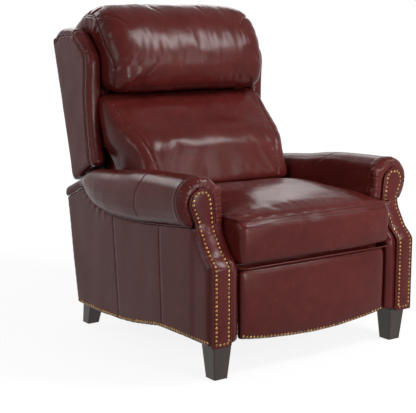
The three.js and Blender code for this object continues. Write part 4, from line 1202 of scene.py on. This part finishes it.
def wing_line(x, inset):
    """Line up the front of the wing and over its top, an inset inside its outline."""
    outline = curved([(x, *wing_point(*shares)) for shares in wing_shares], WELT_STEP / 2)
    ahead = np.gradient(outline, axis=0)
    inwards = np.stack([np.zeros(len(ahead)), ahead[:, Z], -ahead[:, Y]], axis=1)
    return outline + inset * inwards / np.linalg.norm(inwards, axis=1)[:, None]


def fill_wing(wing, low, high):
    """Fills the band round the edge, and wraps the rear of the wing round the outside of the back."""
    points = points_of(wing)
    distance, _ = beside(points, wing_line((low[X] + high[X]) / 2, 0))
    near = band(distance, WING_BAND)
    inwards, forwards = WING_FILL
    points[:, X] -= inwards * near * (high[X] - points[:, X]) / (high[X] - low[X])
    foot = 1 - smooth_step(points[:, Z], low[Z], low[Z] + WING_FOOT)
    points[:, Y] -= (forwards + WING_FOOT_FILL * foot) * near
    lean_y, lean_z = math.cos(BACK_LEAN), -math.sin(BACK_LEAN)
    depth = (points[:, Y] - back_foot_y) * lean_y + (points[:, Z] - back_foot_z) * lean_z
    wrap = smooth_step(depth, depth.max() - WING_WRAP, depth.max() - WING_WRAP / 4)
    points += np.array([0, PANEL_WRAP * lean_y, PANEL_WRAP * lean_z]) * wrap[:, None]
    move_to(wing, points)


def build_wings():
    """Wings with a plump band round their edge, a welt on each side of it and a seam across it."""
    wing = soft_copy("wing_pad_left", ("wing_left",), FINE_VOXEL, FORM_ROUNDS)
    divide(wing)
    low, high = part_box("wing_left")
    fill_wing(wing, low, high)
    surface = surface_of(wing)
    outer, _ = laid(wing_line(high[X], WING_BOXING), surface)
    inner, _ = laid(wing_line(low[X], WING_BOXING / 2), surface)
    middle, _ = laid(wing_line((low[X] + high[X]) / 2, 0), surface)
    distance, _ = beside(points_of(wing), middle)
    push_out(wing, WING_PUFF * band(distance, WING_BOXING))
    for path in (outer, inner):
        press(wing, path, *WING_GROOVE)
        pucker(wing, path, *WING_FOLDS)
    for height_share in wing_tuck_shares:
        tuck_z = low[Z] + height_share * (high[Z] - low[Z])
        start = middle[np.argmin(np.abs(middle[:, Z] - tuck_z))]
        across = [start + (side * WING_BOXING, 0, 0) for side in np.linspace(-1, 1, TUCK_STEPS)]
        press(wing, laid(across, surface)[0], *TUCK_GROOVE)
    ripple(wing, *WING_RIPPLE)
    surface = surface_of(wing)
    for name, path in (("outer", outer), ("inner", inner)):
        welt_pair(f"wing_welt_{name}", laid(path, surface, WING_WELT_LIFT)[0], "back")
    dress_pair(wing, "wing_pad", "back", ("wing",))


def build_back_panels():
    outer = soft_copy("outside_back", ("back_outer_panel",), FINE_VOXEL, PANEL_ROUNDS)
    ripple(outer, *PANEL_RIPPLE)
    dress(outer, "back", ("back_outer_panel",))
    for name, packed, body in (
        ("outside_back_skirt", "back_lower_panel", "back"),
        ("base_back", "base_rear_panel", "base"),
        ("back_cover_left", "back_board_left", "back"),
        ("back_cover_right", "back_board_right", "back"),
    ):
        dress(soft_copy(name, (packed,), FINE_VOXEL, PANEL_ROUNDS), body, (packed,))


FOOTREST_CROWN = 0.012
FOOTREST_LIFT = 0.008
FOOTREST_EDGE = 0.040
FOOTREST_BOW = 0.023
FOOTREST_RIPPLE = (0.16, 0.0016, 71)


def build_footrest():
    """Plump panel with round sides, nailed along its bowed lower edge."""
    pad = soft_copy("leg_pad", ("footrest_pad",), FINE_VOXEL, FORM_ROUNDS)
    low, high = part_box("footrest_pad")
    half = high[X]
    points = points_of(pad)
    across = points[:, X] / half
    foot = low[Z] + FOOTREST_BOW * across**2
    up = 2 * (points[:, Z] - foot) / (high[Z] - foot) - 1
    crown = np.clip(1 - across**6, 0, 1) * np.clip(1 - np.abs(up) ** 4, 0, 1)
    in_front = points[:, Y] < (low[Y] + high[Y]) / 2
    points[:, Y] -= FOOTREST_CROWN * crown * in_front
    points[:, Z] += FOOTREST_LIFT * smooth_step(points[:, Z], high[Z] - FOOTREST_EDGE, high[Z])
    move_to(pad, points)
    ripple(pad, *FOOTREST_RIPPLE)
    skin = surface_of(pad)
    xs = np.linspace(-half + NAIL_INSET, half - NAIL_INSET, FOOTREST_STEPS)
    row = [(x, low[Y], low[Z] + FOOTREST_BOW * (x / half) ** 2 + NAIL_INSET) for x in xs]
    nails = nail_row("leg_pad_nails", *laid(evenly(row, NAIL_PITCH), skin))
    dress(nails, "footrest", (), "brass_nails")
    dress(pad, "footrest", ("footrest_pad",))


# Studio

CAMERA_PLACE = (-2.07428, -2.88215, 1.03300)
CAMERA_AZIMUTH = math.radians(-34.971)
CAMERA_ELEVATION = math.radians(10.052)
SENSOR_WIDTH_MM = 36.0
FRAME_WIDTH_PX = 416
FOCAL_PX = 1068.56
CHAIR_MIDDLE = (0, 0, 0.55)
# Name, azimuth, elevation, distance, size and power of each lamp
LAMPS = (
    ("window", 44, 45, 3.2, (0.5, 1.2), 54),
    ("front", 6, 5, 2.5, (0.7, 1.0), 26),
    ("left", -78, 24, 3.2, (2.0, 1.4), 30),
    ("rim", 186, 33, 3.5, (2.6, 0.9), 34),
    ("seat_rim", 140, 26, 3.5, (1.3, 0.8), 7),
    ("edge", 31, 20, 3.2, (0.12, 1.0), 9),
)
WORLD_LIGHT = 0.20
# Strength of the world overhead, and the heights between which it falls to that from white
CEILING = 0.50
CEILING_RUN = (0.22, 0.50)
WHITE = (1, 1, 1, 1)
FLOOR_HALF = 8.0
FLOOR_COLOR = (0.14, 0.14, 0.14)
FLOOR_ROUGHNESS = 0.9
FLOOR_SPECULAR = 0.1
FLOOR_GLOW = 0.87
# Distances from the chair between which the floor's glow rises to white
GLOW_RUN = (1.5, 4.0)


def build_camera():
    data = bpy.data.cameras.new("camera")
    data.sensor_fit = "HORIZONTAL"
    data.sensor_width = SENSOR_WIDTH_MM
    data.lens = FOCAL_PX / FRAME_WIDTH_PX * SENSOR_WIDTH_MM
    camera = bpy.data.objects.new("camera", data)
    camera.location = CAMERA_PLACE
    camera.rotation_euler = (math.pi / 2 - CAMERA_ELEVATION, 0, CAMERA_AZIMUTH)
    bpy.context.scene.collection.objects.link(camera)
    bpy.context.scene.camera = camera


def soft_light(name, azimuth, elevation, distance, size, power):
    """Rectangular lamp aimed at the middle of the chair. Azimuth 0 is straight in front of it."""
    data = bpy.data.lights.new(name, "AREA")
    data.shape = "RECTANGLE"
    data.size, data.size_y = size
    data.energy = power
    lamp = bpy.data.objects.new(name, data)
    a, e = math.radians(azimuth), math.radians(elevation)
    away = Vector((math.sin(a) * math.cos(e), -math.cos(a) * math.cos(e), math.sin(e)))
    lamp.location = Vector(CHAIR_MIDDLE) + distance * away
    lamp.rotation_euler = (-away).to_track_quat("-Z", "Y").to_euler()
    bpy.context.scene.collection.objects.link(lamp)


def seen_rays(owner):
    """1 for rays from the camera, from a gloss or through glass, and 0 for the light on surfaces."""
    rays = node(owner, "ShaderNodeLightPath")
    value = rays.outputs["Is Camera Ray"]
    for output in ("Is Glossy Ray", "Is Transmission Ray"):
        largest = node(owner, "ShaderNodeMath", operation="MAXIMUM")
        link(owner, value, largest.inputs[0])
        link(owner, rays.outputs[output], largest.inputs[1])
        value = largest.outputs[0]
    return value


def build_world():
    """White round the horizon and grey overhead where it is seen or mirrored, dimmer as light."""
    world = bpy.data.worlds.new("studio")
    world.use_nodes = True
    background = world.node_tree.nodes["Background"]
    background.inputs["Color"].default_value = WHITE
    direction = node(world, "ShaderNodeTexCoord")
    parts = node(world, "ShaderNodeSeparateXYZ")
    link(world, direction.outputs["Generated"], parts.inputs["Vector"])
    seen = spread_value(world, parts.outputs["Z"], 1, CEILING, CEILING_RUN)
    strength = node(world, "ShaderNodeMapRange", **{"To Min": WORLD_LIGHT})
    link(world, seen, strength.inputs["To Max"])
    link(world, seen_rays(world), strength.inputs["Value"])
    link(world, strength.outputs["Result"], background.inputs["Strength"])
    bpy.context.scene.world = world


def build_floor():
    """Pale floor that keeps the chair's shadow and fades to white away from it."""
    half = FLOOR_HALF
    corners = [(-half, -half, 0), (half, -half, 0), (half, half, 0), (-half, half, 0)]
    floor = made("floor", corners, [(0, 1, 2, 3)])
    material, shader = plain_material("pale_floor", FLOOR_COLOR, FLOOR_ROUGHNESS)
    shader.inputs["Specular IOR Level"].default_value = FLOOR_SPECULAR
    shader.inputs["Emission Color"].default_value = WHITE
    distance = node(material, "ShaderNodeVectorMath", operation="LENGTH")
    link(material, place_on(material), distance.inputs[0])
    level = spread_value(material, distance.outputs["Value"], FLOOR_GLOW, 1, GLOW_RUN)
    glow = node(material, "ShaderNodeMath", operation="MULTIPLY")
    link(material, seen_rays(material), glow.inputs[0])
    link(material, level, glow.inputs[1])
    link(material, glow.outputs[0], shader.inputs["Emission Strength"])
    floor.data.materials.append(material)


def build_studio():
    bpy.context.scene.view_settings.view_transform = "Standard"
    build_camera()
    build_world()
    build_floor()
    for lamp in LAMPS:
        soft_light(*lamp)


build_studio()
paint_frame()
build_arms()
build_seat_cushion()
build_seat_lip()
build_back_cushion()
build_head_pillow()
build_wings()
build_back_panels()
build_footrest()
